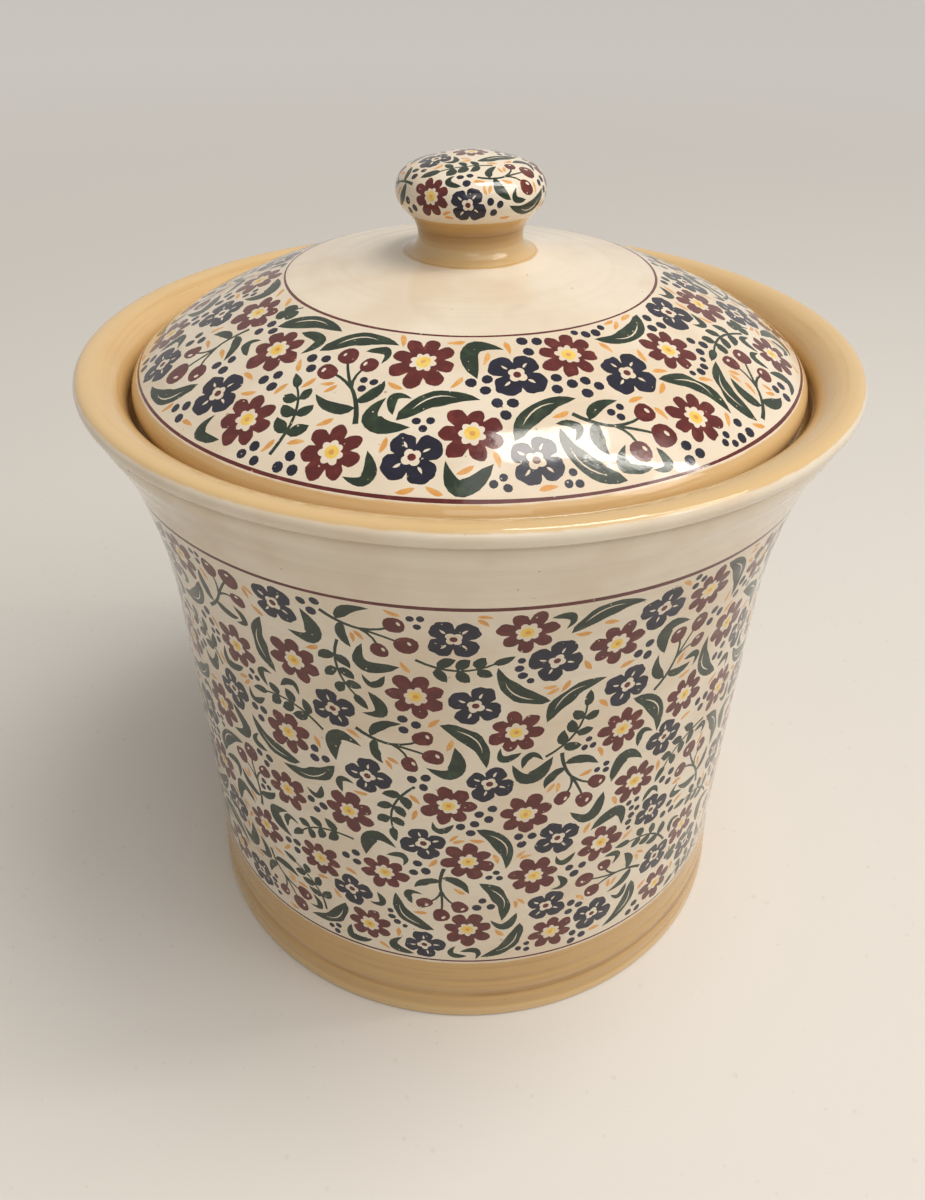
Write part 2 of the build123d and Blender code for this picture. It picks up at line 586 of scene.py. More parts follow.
class Chart:
    """A stretch of a turned surface laid flat, where small shapes keep their shape.

    Its outer rim is the start of the stretch, and a point's distance from the middle falls along it.
    """

    MARGIN = 3.0

    def __init__(self, section: Section, first: float, last: float) -> None:
        """Lays the stretch from first to last flat, with a margin on both sides.

        Args:
            section: The section.
            first: The run where the chart starts.
            last: The run where it ends.
        """
        inside = (section.run > first - self.MARGIN) & (section.run < last + self.MARGIN)
        self.run = section.run[inside]
        self.radius = section.radius[inside]
        near, far = self.radius[:-1], self.radius[1:]
        with np.errstate(divide="ignore", invalid="ignore"):
            mean = np.where(np.abs(near - far) > 1e-9, (near - far) / np.log(near / far), near)
            depth = np.concatenate([[0.0], np.cumsum(np.diff(self.run) / mean)])
        self.depth = depth - np.interp(first, self.run, depth)
        self.scale = float(np.interp(first, self.run, self.radius))
        self.reach = self.scale * np.exp(-self.depth)

    def flat(self, theta: np.ndarray, run: np.ndarray) -> np.ndarray:
        """Where points of the surface lie on the chart."""
        reach = np.interp(run, self.run, self.reach)
        return np.stack([reach * np.cos(theta), reach * np.sin(theta)], -1)

    def back(self, flat: np.ndarray) -> tuple[np.ndarray, np.ndarray]:
        """Angle and run of points of the chart.

        Args:
            flat: Places on the chart.

        Returns:
            Their angles and runs.
        """
        reach = np.hypot(flat[:, 0], flat[:, 1])
        run = np.interp(-reach, -self.reach, self.run)
        return np.arctan2(flat[:, 1], flat[:, 0]) % TURN, run

    def radius_at_depth(self, depth: np.ndarray) -> np.ndarray:
        """Distance from the axis at some depths into the stretch."""
        return np.interp(depth, self.depth, self.radius)


# ---- motifs -------------------------------------------------------------------------------------
def curve(start: Pair, pull: Pair, end: Pair, count: int = 9) -> Outline:
    """A bent line from start to end that leans towards pull.

    Args:
        start: Where it starts.
        pull: The point that bends it.
        end: Where it ends.
        count: How many points it has.

    Returns:
        Its points.
    """
    share = np.linspace(0, 1, count)[:, None]
    a, b, c = (np.array(point, float) for point in (start, pull, end))
    return a * (1 - share) ** 2 + b * 2 * share * (1 - share) + c * share**2


def beside(line: Outline) -> Outline:
    """Directions square to a line, at each of its points."""
    along = np.gradient(line, axis=0)
    return np.stack([-along[:, 1], along[:, 0]], 1) / np.hypot(*along.T)[:, None]


def placed(outline: Outline, at: Sequence[float], spin: float = 0.0, size: float = 1.0) -> Outline:
    """An outline turned, scaled and moved."""
    cos, sin = math.cos(spin) * size, math.sin(spin) * size
    return outline @ np.array([[cos, sin], [-sin, cos]]) + np.array(at)


@dataclass
class Motif:
    """Shapes that are printed together, the later ones on top."""

    COVER_STEP: ClassVar[float] = 0.8

    shapes: list[tuple[Ink, Outline]]

    def cover(self) -> Outline:
        """Points close together all over the motif's shapes.

        Returns:
            Points that stand for its whole area.
        """
        spots = []
        for _, outline in self.shapes:
            following = np.roll(outline, -1, axis=0)
            spots += [outline + (following - outline) * share for share in (0, 1 / 3, 2 / 3)]
            spans = (np.arange(*span, self.COVER_STEP) for span in zip(outline.min(0), outline.max(0)))
            grid = np.stack(np.meshgrid(*spans), -1).reshape(-1, 1, 2)
            crossed = (outline[:, 1] > grid[..., 1]) != (following[:, 1] > grid[..., 1])
            slant = (following[:, 0] - outline[:, 0]) / (following[:, 1] - outline[:, 1] + 1e-9)
            left = grid[..., 0] < outline[:, 0] + (grid[..., 1] - outline[:, 1]) * slant
            spots.append(grid[(crossed & left).sum(1) % 2 == 1, 0])
        return np.concatenate(spots)

    def scaled(self, size: float) -> "Motif":
        """The same motif at another size."""
        return Motif([(ink, outline * size) for ink, outline in self.shapes])


class Stamps:
    """The decorator's cut sponges. Two prints of a kind differ a little."""

    PETALS_DIFFER = 0.045
    PETALS_RAGGED = 0.045
    DOTS_RAGGED = 0.11
    LEAVES_RAGGED = 0.14
    LEAF_FULLNESS = 0.75

    def __init__(self, rng: np.random.Generator) -> None:
        """Keeps the source of small differences."""
        self.rng = rng

    def ragged(self, count: int, amount: float) -> np.ndarray:
        """Small steps in and out round a closed outline."""
        steps = self.rng.normal(0, amount, count)
        return 0.25 * np.roll(steps, 1) + 0.5 * steps + 0.25 * np.roll(steps, -1)

    def petals(self, radius: float, count: int, depth: float, fullness: float, fine: int = 4) -> Outline:
        """A flower's outline.

        Args:
            radius: Out to the petals' tips.
            count: How many petals it has.
            depth: How deep the gaps between them are, as a share of the radius.
            fullness: How broad they are: the lower, the broader.
            fine: Points on each half petal.

        Returns:
            The outline.
        """
        points = 2 * count * fine
        angle = np.arange(points) * TURN / points
        reach = radius * (1 - depth + depth * np.abs(np.cos(count * angle / 2)) ** fullness)
        petal = np.repeat(self.rng.normal(1, self.PETALS_DIFFER, count), 2 * fine)
        reach = reach * np.roll(petal, -fine) + self.ragged(points, self.PETALS_RAGGED * radius)
        return np.stack([reach * np.cos(angle), reach * np.sin(angle)], 1)

    def dot(self, radius: float, points: int = 10, length: float = 1.0) -> Outline:
        """A roughly round spot, or a longer one.

        Args:
            radius: Half its width.
            points: How many corners it has.
            length: Its length, as a share of its width.

        Returns:
            Its outline.
        """
        angle = np.arange(points) * TURN / points
        reach = radius + self.ragged(points, self.DOTS_RAGGED * radius)
        return np.stack([reach * np.cos(angle) * length, reach * np.sin(angle)], 1)

    def leaf(self, line: Outline, width: float, lean: float = 0.8) -> Outline:
        """A leaf along a line.

        Args:
            line: Its middle line.
            width: Half of its greatest width.
            lean: Below 1, its widest part lies nearer to its start.

        Returns:
            The outline.
        """
        share = np.linspace(0, 1, len(line))
        half = width * np.sin(math.pi * share**lean) ** self.LEAF_FULLNESS
        left, right = (
            line + side * (half * (1 + self.ragged(len(line), self.LEAVES_RAGGED)))[:, None]
            for side in (beside(line), -beside(line))
        )
        return np.concatenate([left, right[-2:0:-1]])

    def stem(self, line: Outline, width: float = 0.5) -> Outline:
        """A stem along a line."""
        reach = beside(line) * np.linspace(width * 1.15, width * 0.8, len(line))[:, None]
        return np.concatenate([line + reach, (line - reach)[::-1]])

    def daisy(self) -> Motif:
        """A maroon daisy with a cream ring round an ochre eye.

        Returns:
            The motif, about its own middle.
        """
        count = int(self.rng.integers(7, 9))
        return Motif([
            (Ink.MAROON, self.petals(self.rng.uniform(8.6, 9.5), count, 0.4, 0.6)),
            (Ink.SLIP, self.petals(3.8, count, 0.26, 1.0, 2)),
            (Ink.YELLOW, self.dot(2.1, 10)),
            (Ink.OCHRE, self.dot(0.85, 7)),
        ])

    def cross_flower(self) -> Motif:
        """A navy flower of four broad petals, each with a slit, round a cream eye.

        Returns:
            The motif, about its own middle.
        """
        shapes = [(Ink.NAVY, self.petals(self.rng.uniform(7.8, 8.6), 4, 0.46, 0.42, 8))]
        for k in range(4):
            slit = self.leaf(curve((3.2, 0), (4.3, 0.3), (5.6, 0), 5), 0.4)
            shapes.append((Ink.SLIP, placed(slit, (0, 0), k * TURN / 4 + self.rng.normal(0, 0.08))))
        return Motif([*shapes, (Ink.SLIP, self.petals(2.7, 4, 0.3, 1.0, 3)), (Ink.MAROON, self.dot(1.15, 8))])

    def hips(self) -> Motif:
        """A forked stem with round maroon hips and two leaves.

        Returns:
            The motif, about its own middle.
        """
        fork = (0.6, -2.0)
        shapes = [
            (Ink.GREEN, self.stem(curve((-1.0, -14.5), (1.6, -8), fork, 6), 0.62)),
            (Ink.GREEN, self.leaf(curve((0.2, -9.5), (-6.5, -9), (-9.0, -1.0)), 1.9)),
            (Ink.GREEN, self.leaf(curve((0.4, -7.5), (6.5, -8.5), (10.0, -3.5)), 1.8)),
        ]
        for tip, size in (((-5.4, 6.6), 3.1), ((1.6, 11.2), 3.5), ((7.2, 4.6), 2.9)):
            pull = (tip[0] * 0.25, tip[1] * 0.6)
            shapes.append((Ink.GREEN, self.stem(curve((0.6, -2.4), pull, tip, 5), 0.45)))
            hip = self.dot(size, 14, 1.08)
            lean = math.atan2(tip[1] + 3, tip[0])
            shapes.append((Ink.MAROON, placed(hip, tip, lean)))
            shapes.append((Ink.SLIP, placed(self.dot(0.55, 6, 1.7), (tip[0] - 1.0, tip[1] + 1.0), 0.8)))
        return Motif(shapes)

    def sprig(self) -> Motif:
        """A bent stem with leaves in pairs and one at its tip.

        Returns:
            The motif, about its own middle.
        """
        line = curve((-3.0, -13), (4.5, -1), (-2.0, 10), 9)
        shapes = [(Ink.GREEN, self.stem(line, 0.45))]
        for k in (2, 4, 6):
            along = line[k + 1] - line[k - 1]
            lean = math.atan2(along[1], along[0])
            for side in (1, -1):
                blade = self.leaf(curve((0, 0), (3.6, side * 0.9), (7.2 - k * 0.3, 0), 6), 1.85)
                shapes.append((Ink.GREEN, placed(blade, line[k], lean + side * self.rng.uniform(0.8, 1.0))))
        shapes.append((Ink.GREEN, self.leaf(curve((-1.6, 8.8), (-2.4, 12), (-4.4, 15.2), 6), 1.5)))
        return Motif(shapes)

    def blade(self) -> Motif:
        """A long bent leaf with a pale rib.

        Returns:
            The motif, about its own middle.
        """
        bend = self.rng.uniform(5, 9)
        line = curve((-11.5, -2), (0, bend), (11.5, -1.5), 13)
        rib = curve((-7, 0.1 * bend), (0, bend * 0.83), (5.5, 0.2 * bend), 7)
        return Motif([(Ink.GREEN, self.leaf(line, 2.9)), (Ink.SLIP, self.leaf(rib, 0.24))])

    def crook(self) -> Motif:
        """A narrow leaf with a strong bend."""
        line = curve((-6.5, -6.5), (1.5, 9.5), (6.5, -5.0), 12)
        return Motif([(Ink.GREEN, self.leaf(line, 2.6))])

    def trefoil(self) -> Motif:
        """Three round leaflets on a short stalk.

        Returns:
            The motif, about its own middle.
        """
        stalk = self.stem(curve((0.2, -0.5), (0.8, -3), (0.1, -5.2), 4), 0.4)
        leaflets = placed(self.petals(4.1, 3, 0.46, 0.5, 4), (0, 0), TURN / 4)
        return Motif([(Ink.GREEN, stalk), (Ink.GREEN, leaflets)])

    def berries(self) -> Motif:
        """Three navy berries.

        Returns:
            The motif, about its own middle.
        """
        angles = np.arange(3) * TURN / 3 + self.rng.normal(0, 0.15, 3)
        places = [(2.65 * math.cos(angle), 2.65 * math.sin(angle)) for angle in angles]
        return Motif([(Ink.NAVY, placed(self.dot(1.65, 9), at)) for at in places])

    def berry_row(self) -> Motif:
        """Navy berries in a short bent row."""
        places = ((-4.6, -0.8), (-1.6, 0.7), (1.6, 0.8), (4.7, -0.6))
        return Motif([(Ink.NAVY, placed(self.dot(s, 8), at)) for at, s in zip(places, (1.15, 1.5, 1.5, 1.2))])

    def grains(self) -> Motif:
        """A pair of ochre grains.

        Returns:
            The motif, about its own middle.
        """
        grain = curve((-2.3, 0), (0, 0.5), (2.3, 0), 6)
        leans = ((0.0, 1.1, 0.25), (0.4, -1.2, -0.3))
        return Motif([(Ink.OCHRE, placed(self.leaf(grain, 0.75), (x, y), a)) for x, y, a in leans])

    def grain(self) -> Motif:
        """A single ochre grain."""
        return Motif([(Ink.OCHRE, self.leaf(curve((-2.7, 0), (0, 0.6), (2.7, 0), 6), 0.85))])


class Stamp(Enum):
    """Kinds of motif, each with the name of the method that draws it."""

    HIPS = "hips"
    DAISY = "daisy"
    CROSS_FLOWER = "cross_flower"
    SPRIG = "sprig"
    BLADE = "blade"
    CROOK = "crook"
    TREFOIL = "trefoil"
    BERRIES = "berries"
    BERRY_ROW = "berry_row"
    GRAINS = "grains"
    GRAIN = "grain"


@dataclass(frozen=True)
class Recipe:
    """How often a kind of motif is printed.

    Attributes:
        kind: Which motif.
        spacing: Least distance between two of the kind, in millimetres.
        tries: How many places are tried.
        size: How large the stamps are, as a share of their own size.
        gap: Ground left round each one.
        variants: How many slightly different stamps there are of it.
        turns: How many ways each is turned at a place until it fits.
    """

    kind: Stamp
    spacing: float
    tries: int
    size: float = 1.0
    gap: float = 0.5
    variants: int = 4
    turns: int = 9


FULL_PATTERN = (
    Recipe(Stamp.HIPS, 48, 900),
    Recipe(Stamp.DAISY, 25, 3000),
    Recipe(Stamp.CROSS_FLOWER, 22.5, 3600),
    Recipe(Stamp.SPRIG, 24, 2400),
    Recipe(Stamp.BLADE, 10, 4000),
    Recipe(Stamp.CROOK, 8, 4000),
    Recipe(Stamp.BERRIES, 12, 1500),
    Recipe(Stamp.CROOK, 7, 4000, size=0.75),
    Recipe(Stamp.TREFOIL, 8, 3600),
    Recipe(Stamp.BERRIES, 6, 4000),
    Recipe(Stamp.CROOK, 5, 4000, size=0.55),
    Recipe(Stamp.BERRY_ROW, 9, 2400),
    Recipe(Stamp.GRAINS, 12, 600),
    Recipe(Stamp.BERRIES, 5, 3000, size=0.75),
    Recipe(Stamp.GRAIN, 7, 1500),
)


class Pattern:
    """Motifs scattered over a chart so that none touches another."""

    CELL = 0.4
    EDGE = 0.5
    POLE_STEPS = 8

    def __init__(
        self, chart: Chart, first: float, last: float, size: float, rng: np.random.Generator
    ) -> None:
        """Clears the ground.

        Args:
            chart: The flat surface.
            first: Run where the printed band starts.
            last: Run where it ends.
            size: Scale of the motifs.
            rng: Source of chance.
        """
        self.chart, self.size, self.rng = chart, size, rng
        self.cell = self.CELL * size / chart.scale
        self.across = int(TURN / self.cell)
        self.cell = TURN / self.across
        edge = self.EDGE * size
        low, high = (np.interp(run, chart.run, chart.depth) for run in (first + edge, last - edge))
        self.low, self.rows = low, int((high - low) / self.cell)
        self.taken = np.zeros((self.rows, self.across), bool)
        self.outlines: list[tuple[Ink, Outline]] = []

    def cells(self, theta: np.ndarray, depth: np.ndarray) -> tuple[np.ndarray, np.ndarray]:
        """Rows and columns of points."""
        rows = np.floor((depth - self.low) / self.cell).astype(int)
        return rows, np.floor(theta / self.cell).astype(int) % self.across

    def claim(self, rows: np.ndarray, columns: np.ndarray, radius: float) -> None:
        """Marks everything within a radius, in cells, of some cells as taken.

        Args:
            rows: Rows of the cells.
            columns: Their columns.
            radius: How far round them, in cells.
        """
        reach = math.ceil(radius)
        grid = np.mgrid[-reach : reach + 1, -reach : reach + 1].reshape(2, -1)
        near = grid[:, (grid**2).sum(0) <= radius**2]
        rows = rows[:, None] + near[0]
        columns = (columns[:, None] + near[1]) % self.across
        inside = (rows >= 0) & (rows < self.rows)
        self.taken[rows[inside], columns[inside]] = True

    def spread(self, recipe: Recipe, stamps: Stamps) -> int:
        """Prints one kind of motif wherever there is room.

        Args:
            recipe: The kind and its spacing.
            stamps: The stamps.

        Returns:
            How many were printed.
        """
        draw = getattr(stamps, recipe.kind.value)
        motifs = [draw().scaled(self.size * recipe.size) for _ in range(recipe.variants)]
        covers = [motif.cover() for motif in motifs]
        centres = np.zeros((0, 2))
        spacing = recipe.spacing * self.size
        free = self.rng.permutation(np.flatnonzero(~self.taken))[: recipe.tries]
        for row, column in zip(*np.unravel_index(free, self.taken.shape)):
            pick = int(self.rng.integers(len(motifs)))
            if self.taken[row, column]:
                continue
            theta, depth = (column + 0.5) * self.cell, self.low + (row + 0.5) * self.cell
            radius = float(self.chart.radius_at_depth(depth))
            around = (centres[:, 0] - theta + math.pi) % TURN - math.pi
            if len(centres) and np.hypot(around, centres[:, 1] - depth).min() * radius < spacing:
                continue
            for spin in self.rng.uniform(0, TURN, recipe.turns):
                cover = placed(covers[pick], (0, 0), spin) / radius
                rows, columns = self.cells(theta + cover[:, 0], depth + cover[:, 1])
                if rows.min() >= 0 and rows.max() < self.rows and not self.taken[rows, columns].any():
                    break
            else:
                continue
            self.claim(rows, columns, recipe.gap * self.size / (radius * self.cell))
            centres = np.concatenate([centres, [[theta, depth]]])
            for ink, outline in motifs[pick].shapes:
                turned = placed(outline, (0, 0), spin) / radius
                reach = self.chart.scale * np.exp(-(depth + turned[:, 1]))
                angle = theta + turned[:, 0]
                self.outlines.append((ink, np.stack([reach * np.cos(angle), reach * np.sin(angle)], 1)))
        return len(centres)

    def centre(self, motif: Motif, clear: float) -> None:
        """Prints a motif round the pole and keeps the rest clear of it.

        Args:
            motif: What is printed.
            clear: Radius kept clear, in millimetres.
        """
        depth = self.low + (np.arange(self.rows) + 0.5) * self.cell
        self.taken[self.chart.radius_at_depth(depth) < clear] = True
        near = len(self.chart.reach) - self.POLE_STEPS
        scale = self.chart.reach[near] / self.chart.radius[near]
        self.outlines += [(ink, outline * scale) for ink, outline in motif.shapes]


class Inlay:
    """A flat drawing that is cut into faces along its outlines."""

    MERGE = 0.004

    def __init__(self) -> None:
        """Starts with an empty sheet."""
        self.points: list[Outline] = []
        self.count = 0
        self.shapes: list[list[int]] = []
        self.inks: list[int] = []

    def add(self, points: Outline) -> list[int]:
        """Adds points.

        Args:
            points: Where they lie.

        Returns:
            Their numbers.
        """
        numbers = list(range(self.count, self.count + len(points)))
        self.points.append(points)
        self.count += len(points)
        return numbers

    def outline(self, points: Outline, ink: Ink) -> None:
        """Adds a closed outline.

        Args:
            points: Its corners.
            ink: What fills it.
        """
        following = np.roll(points, -1, axis=0)
        clockwise = (points[:, 0] * following[:, 1] - points[:, 1] * following[:, 0]).sum() < 0
        self.shapes.append(self.add(points[::-1] if clockwise else points))
        self.inks.append(ink.value)

    def cut(self, seam: list[int]) -> tuple[Outline, list[list[int]], list[list[int]], list[list[int]]]:
        """Cuts the sheet along every outline and along a seam.

        Args:
            seam: The numbers of the seam's points, in order.

        Returns:
            The corners, the faces, the points that each corner stands for, and the outlines round each face.
        """
        points = [Vector(point) for point in np.concatenate(self.points).tolist()]
        edges = list(zip(seam[:-1], seam[1:]))
        made, _, faces, sources, _, owners = geometry.delaunay_2d_cdt(
            points, edges, self.shapes, 0, self.MERGE, True
        )
        return np.array([tuple(point) for point in made]), faces, sources, owners


# ---- the turned mesh ----------------------------------------------------------------------------
@dataclass(frozen=True)
class Patch:
    """Where a stretch lies on the texture square.

    Attributes:
        first: The run at its lower side, or at its middle.
        last: The run at its upper side, or at its rim.
    """

    first: float
    last: float

    def share(self, run: np.ndarray) -> np.ndarray:
        """How far some runs lie from first to last."""
        return np.clip((run - self.first) / (self.last - self.first), 0, 1)

    def place(self, turn: np.ndarray, run: np.ndarray) -> np.ndarray:
        """Texture places for shares of a turn and runs."""
        raise NotImplementedError


@dataclass(frozen=True)
class Strip(Patch):
    """A full-width strip, from one height of the square to another."""

    SIDE: ClassVar[float] = 0.003

    low: float
    high: float

    def place(self, turn: np.ndarray, run: np.ndarray) -> np.ndarray:
        """Texture places for shares of a turn and runs."""
        across = self.SIDE + (1 - 2 * self.SIDE) * turn
        return np.stack([across, self.low + (self.high - self.low) * self.share(run)], -1)


@dataclass(frozen=True)
class Disc(Patch):
    """A round patch, by the place of its middle and its radius."""

    x: float
    y: float
    radius: float

    def place(self, turn: np.ndarray, run: np.ndarray) -> np.ndarray:
        """Texture places for shares of a turn and runs."""
        out, angle = self.radius * self.share(run), TURN * turn
        return np.stack([self.x + out * np.cos(angle), self.y + out * np.sin(angle)], -1)


@dataclass(frozen=True)
class Stretch:
    """One stretch of a section.

    Attributes:
        end: The mark or run where it ends.
        patch: Its texture patch.
        step: Greatest distance between its rows.
        ink: What it is painted with.
        waver: How far the brush strays at its end.
        printed: Texture patch of the motifs, where it is printed.
    """

    end: str | float
    patch: Patch
    step: float = 5.0
    ink: Ink = Ink.SLIP
    waver: float = 0.0
    printed: Patch | None = None


@dataclass(frozen=True)
class Throwing:
    """The spiral that fingers leave on a stretch of thrown wall.

    Attributes:
        pitch: How far it climbs in a turn.
        depth: How deep it is.
        first: The mark or run where it starts.
        last: The mark or run where it ends.
        fade: Over what distance it comes in and dies out.
    """

    pitch: float
    depth: float
    first: str | float
    last: str | float
    fade: float


@dataclass(frozen=True)
class Sway:
    """How a stretch strays from round, always inwards.

    Attributes:
        waves: Share, count and phase of each wave round the piece. The shares add up to 1.
        first: The mark or run where it starts.
        last: The mark or run where it ends.
        fade: Over what distance it comes in and dies out.
    """

    DEPTH: ClassVar[float] = 0.12

    waves: tuple[tuple[float, int, float], ...]
    first: str | float
    last: str | float
    fade: float


@dataclass
class Ring:
    """A row of corners round the piece. The last one is the first again.

    Attributes:
        ids: Their numbers.
        turn: Share of a turn at each.
        run: Run at each.
        base: The run of the row, before the brush strays.
        pole: Whether they are all one corner on the axis.
    """

    ids: np.ndarray
    turn: np.ndarray
    run: np.ndarray
    base: float
    pole: bool = False


@dataclass
class Turned:
    """A piece turned on the wheel.

    Attributes:
        FAR: Farthest distance from a glaze's edge that the mesh carries.
        NEAR: How far apart the points are that give a slope.
        POLE_R: Radius within which the surface counts as flat.
        POLE_CLEAR: How far scattered motifs stay from the pole.
        SEAM_STEP: Distance between corners on the seam.
        GROUND_STEP: Distance between corners of the plain ground.
        ROW_SHARE: Distance between their rows, as a share of that.
        CLEAR_CELLS: Cells round an outline that get none of them.
        FINGER_DRIFT: How fast the finger's pressure drifts up the wall.
        FINGER_SWING: How much of the spiral's depth comes and goes.
        FINGER_LAG: How unevenly the spiral climbs.
        POOLING_AND_SHADE: How much hollows draw glaze in and take painted shade, and how much crests shed
            both.
        POOL_AND_SHADE_RANGE: Least and greatest pooling and painted shade.
        name: Name of the finished piece.
        node: The solid that it stands for.
        body: The moving body that it rides on.
        slot: Name of a material slot; not used.
        seed: Its own part of the seed.
        columns: Corners in a row round it.
        row_turn: Greatest turn between two rows, where the section bends.
        soft: How far its corners are softened.
        print_size: Scale of the motifs.
        theta: Angles of its corners.
        run: Runs of its corners.
        faces: Its faces, by their corners' numbers.
        places: Texture places of the faces' corners.
        slots: The ink of each face.
    """

    FAR: ClassVar[float] = 10.0
    NEAR: ClassVar[float] = 0.12
    POLE_R: ClassVar[float] = 0.3
    POLE_CLEAR: ClassVar[float] = 2.0
    SEAM_STEP: ClassVar[float] = 3.0
    GROUND_STEP: ClassVar[float] = 4.0
    ROW_SHARE: ClassVar[float] = 0.87
    CLEAR_CELLS: ClassVar[range] = range(-2, 3)
    FINGER_DRIFT: ClassVar[float] = 2.7
    FINGER_SWING: ClassVar[float] = 0.3
    FINGER_LAG: ClassVar[float] = 0.7
    POOLING_AND_SHADE: ClassVar[Pair] = (5.0, 0.6)
    POOL_AND_SHADE_RANGE: ClassVar[Pair] = (-1.2, 1.5)

    name: str
    node: str
    body: str
    slot: str
    seed: int = 0
    columns: int = 180
    row_turn: float = math.radians(9)
    soft: float = 0.5
    print_size: float = 1.0
    theta: list[np.ndarray] = field(default_factory=list)
    run: list[np.ndarray] = field(default_factory=list)
    faces: list[list[int]] = field(default_factory=list)
    places: list[np.ndarray] = field(default_factory=list)
    slots: list[int] = field(default_factory=list)

    def __post_init__(self) -> None:
        """Reads the overall size and draws the section."""
        low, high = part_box(self.node)
        self.reach, self.base, self.top = high.x / MM, low.z / MM, high.z / MM
        self.rng = np.random.default_rng(SEED + self.seed)
        self.section = Section(self.contour(), self.soft)

    # What each piece says for itself.
    def contour(self) -> Contour:
        """The half section."""
        raise NotImplementedError

    def stretches(self) -> list[Stretch]:
        """The stretches from the lower pole to the upper one."""
        raise NotImplementedError

    def honey(self) -> list[Pair]:
        """Runs between which the honey glaze lies."""
        raise NotImplementedError

    def bare(self) -> list[Pair]:
        """Runs between which the clay is bare."""
        raise NotImplementedError

    def sway(self) -> Sway:
        """How the piece strays from round."""
        raise NotImplementedError

    def thrown(self) -> list[Throwing]:
        """The spirals that fingers left."""
        return []

    def relief(self, theta: np.ndarray, run: np.ndarray) -> np.ndarray:
        """How far the hand-turned surface stands proud of its section, in millimetres.

        Args:
            theta: Angles.
            run: Runs.

        Returns:
            The distances, negative where the surface lies deeper.
        """
        sway = self.sway()
        stray = sum(share * np.sin(count * theta + phase) for share, count, phase in sway.waves) - 1
        proud = sway.DEPTH * stray * self.window(run, sway.first, sway.last, sway.fade)
        for mark in self.thrown():
            proud = proud + self.spiral(theta, run, mark) * self.window(run, mark.first, mark.last, mark.fade)
        return proud

    def print_on(self, pattern: Pattern, stamps: Stamps) -> None:
        """Prints the decoration.

        Args:
            pattern: The pattern on the band.
            stamps: The stamps.
        """
        for recipe in FULL_PATTERN:
            count = pattern.spread(recipe, stamps)
            log.info("  %s: %d %s", self.name, count, recipe.kind.value)

    # Helpers for them.
    def at(self, mark: str | float) -> float:
        """The run of a mark."""
        return self.section.marks[mark] if isinstance(mark, str) else mark

    def window(self, run: np.ndarray, first: str | float, last: str | float, fade: float) -> np.ndarray:
        """1 between two places and 0 away from them, with soft ends.

        Args:
            run: Runs.
            first: The mark or run where it opens.
            last: The mark or run where it shuts.
            fade: Over what distance.

        Returns:
            The shares, from 0 to 1.
        """
        inside = np.clip(np.minimum(run - self.at(first), self.at(last) - run) / fade, 0, 1)
        return inside * inside * (3 - 2 * inside)

    def spiral(self, theta: np.ndarray, run: np.ndarray, mark: Throwing) -> np.ndarray:
        """The mark of fingers on a thrown wall, always below the surface.

        Args:
            theta: Angles.
            run: Runs.
            mark: The spiral.

        Returns:
            How far the surface stands proud, never above 0.
        """
        phase = TURN * run / mark.pitch - theta + self.FINGER_LAG * np.sin(theta)
        press = np.sin(2 * theta + run / (self.FINGER_DRIFT * mark.pitch))
        strength = 1 - self.FINGER_SWING + self.FINGER_SWING * press
        return mark.depth * strength * 0.5 * (np.sin(phase) - 1)

    def signed(self, run: np.ndarray, spans: list[Pair]) -> np.ndarray:
        """Distance inside the spans, positive, or outside them, negative, as far as it matters."""
        inside = [np.minimum(run - first, last - run) for first, last in spans]
        return np.clip(np.max(inside, axis=0), -self.FAR, self.FAR)

    # Making the mesh.
    def surface(self, theta: np.ndarray, run: np.ndarray) -> np.ndarray:
        """Points of the surface, in millimetres.

        Args:
            theta: Angles.
            run: Runs.

        Returns:
            The points, in millimetres.
        """
        radius, height, heading = (
            np.interp(run, self.section.run, values)
            for values in (self.section.radius, self.section.height, self.section.heading)
        )
        proud = self.relief(theta, run)
        radius = np.maximum(radius + proud * np.sin(heading), 0)
        height = height - proud * np.cos(heading)
        return np.stack([radius * np.cos(theta), radius * np.sin(theta), height], -1)

    def normals(self, theta: np.ndarray, run: np.ndarray) -> np.ndarray:
        """Outward directions of the surface.

        Args:
            theta: Angles.
            run: Runs.

        Returns:
            Unit vectors.
        """
        radius = np.interp(run, self.section.run, self.section.radius)
        swing = self.NEAR / np.maximum(radius, 1.0)
        last = self.section.run[-1]
        above, below = np.minimum(run + self.NEAR, last), np.maximum(run - self.NEAR, 0)
        along = self.surface(theta, above) - self.surface(theta, below)
        across = self.surface(theta + swing, run) - self.surface(theta - swing, run)
        normal = np.cross(across, along)
        normal[radius < self.POLE_R] = (0, 0, 1)
        normal[(radius < self.POLE_R) & (run < last / 2)] = (0, 0, -1)
        return normal / np.linalg.norm(normal, axis=1)[:, None]

    def corners(self, theta: np.ndarray, run: np.ndarray) -> np.ndarray:
        """Adds corners and hands back their numbers.

        Args:
            theta: Angles.
            run: Runs.

        Returns:
            Their numbers.
        """
        start = sum(map(len, self.theta))
        self.theta.append(np.asarray(theta, float))
        self.run.append(np.asarray(run, float))
        return np.arange(start, start + len(theta))

    def pole(self, run: float) -> Ring:
        """A corner on the axis, as a ring of one place.

        Args:
            run: The run at the pole.

        Returns:
            The ring, with one corner over and over.
        """
        number = self.corners(np.zeros(1), np.full(1, run))
        many = self.columns + 1
        turn = np.arange(many) / self.columns
        return Ring(np.full(many, number[0]), turn, np.full(many, run), run, True)

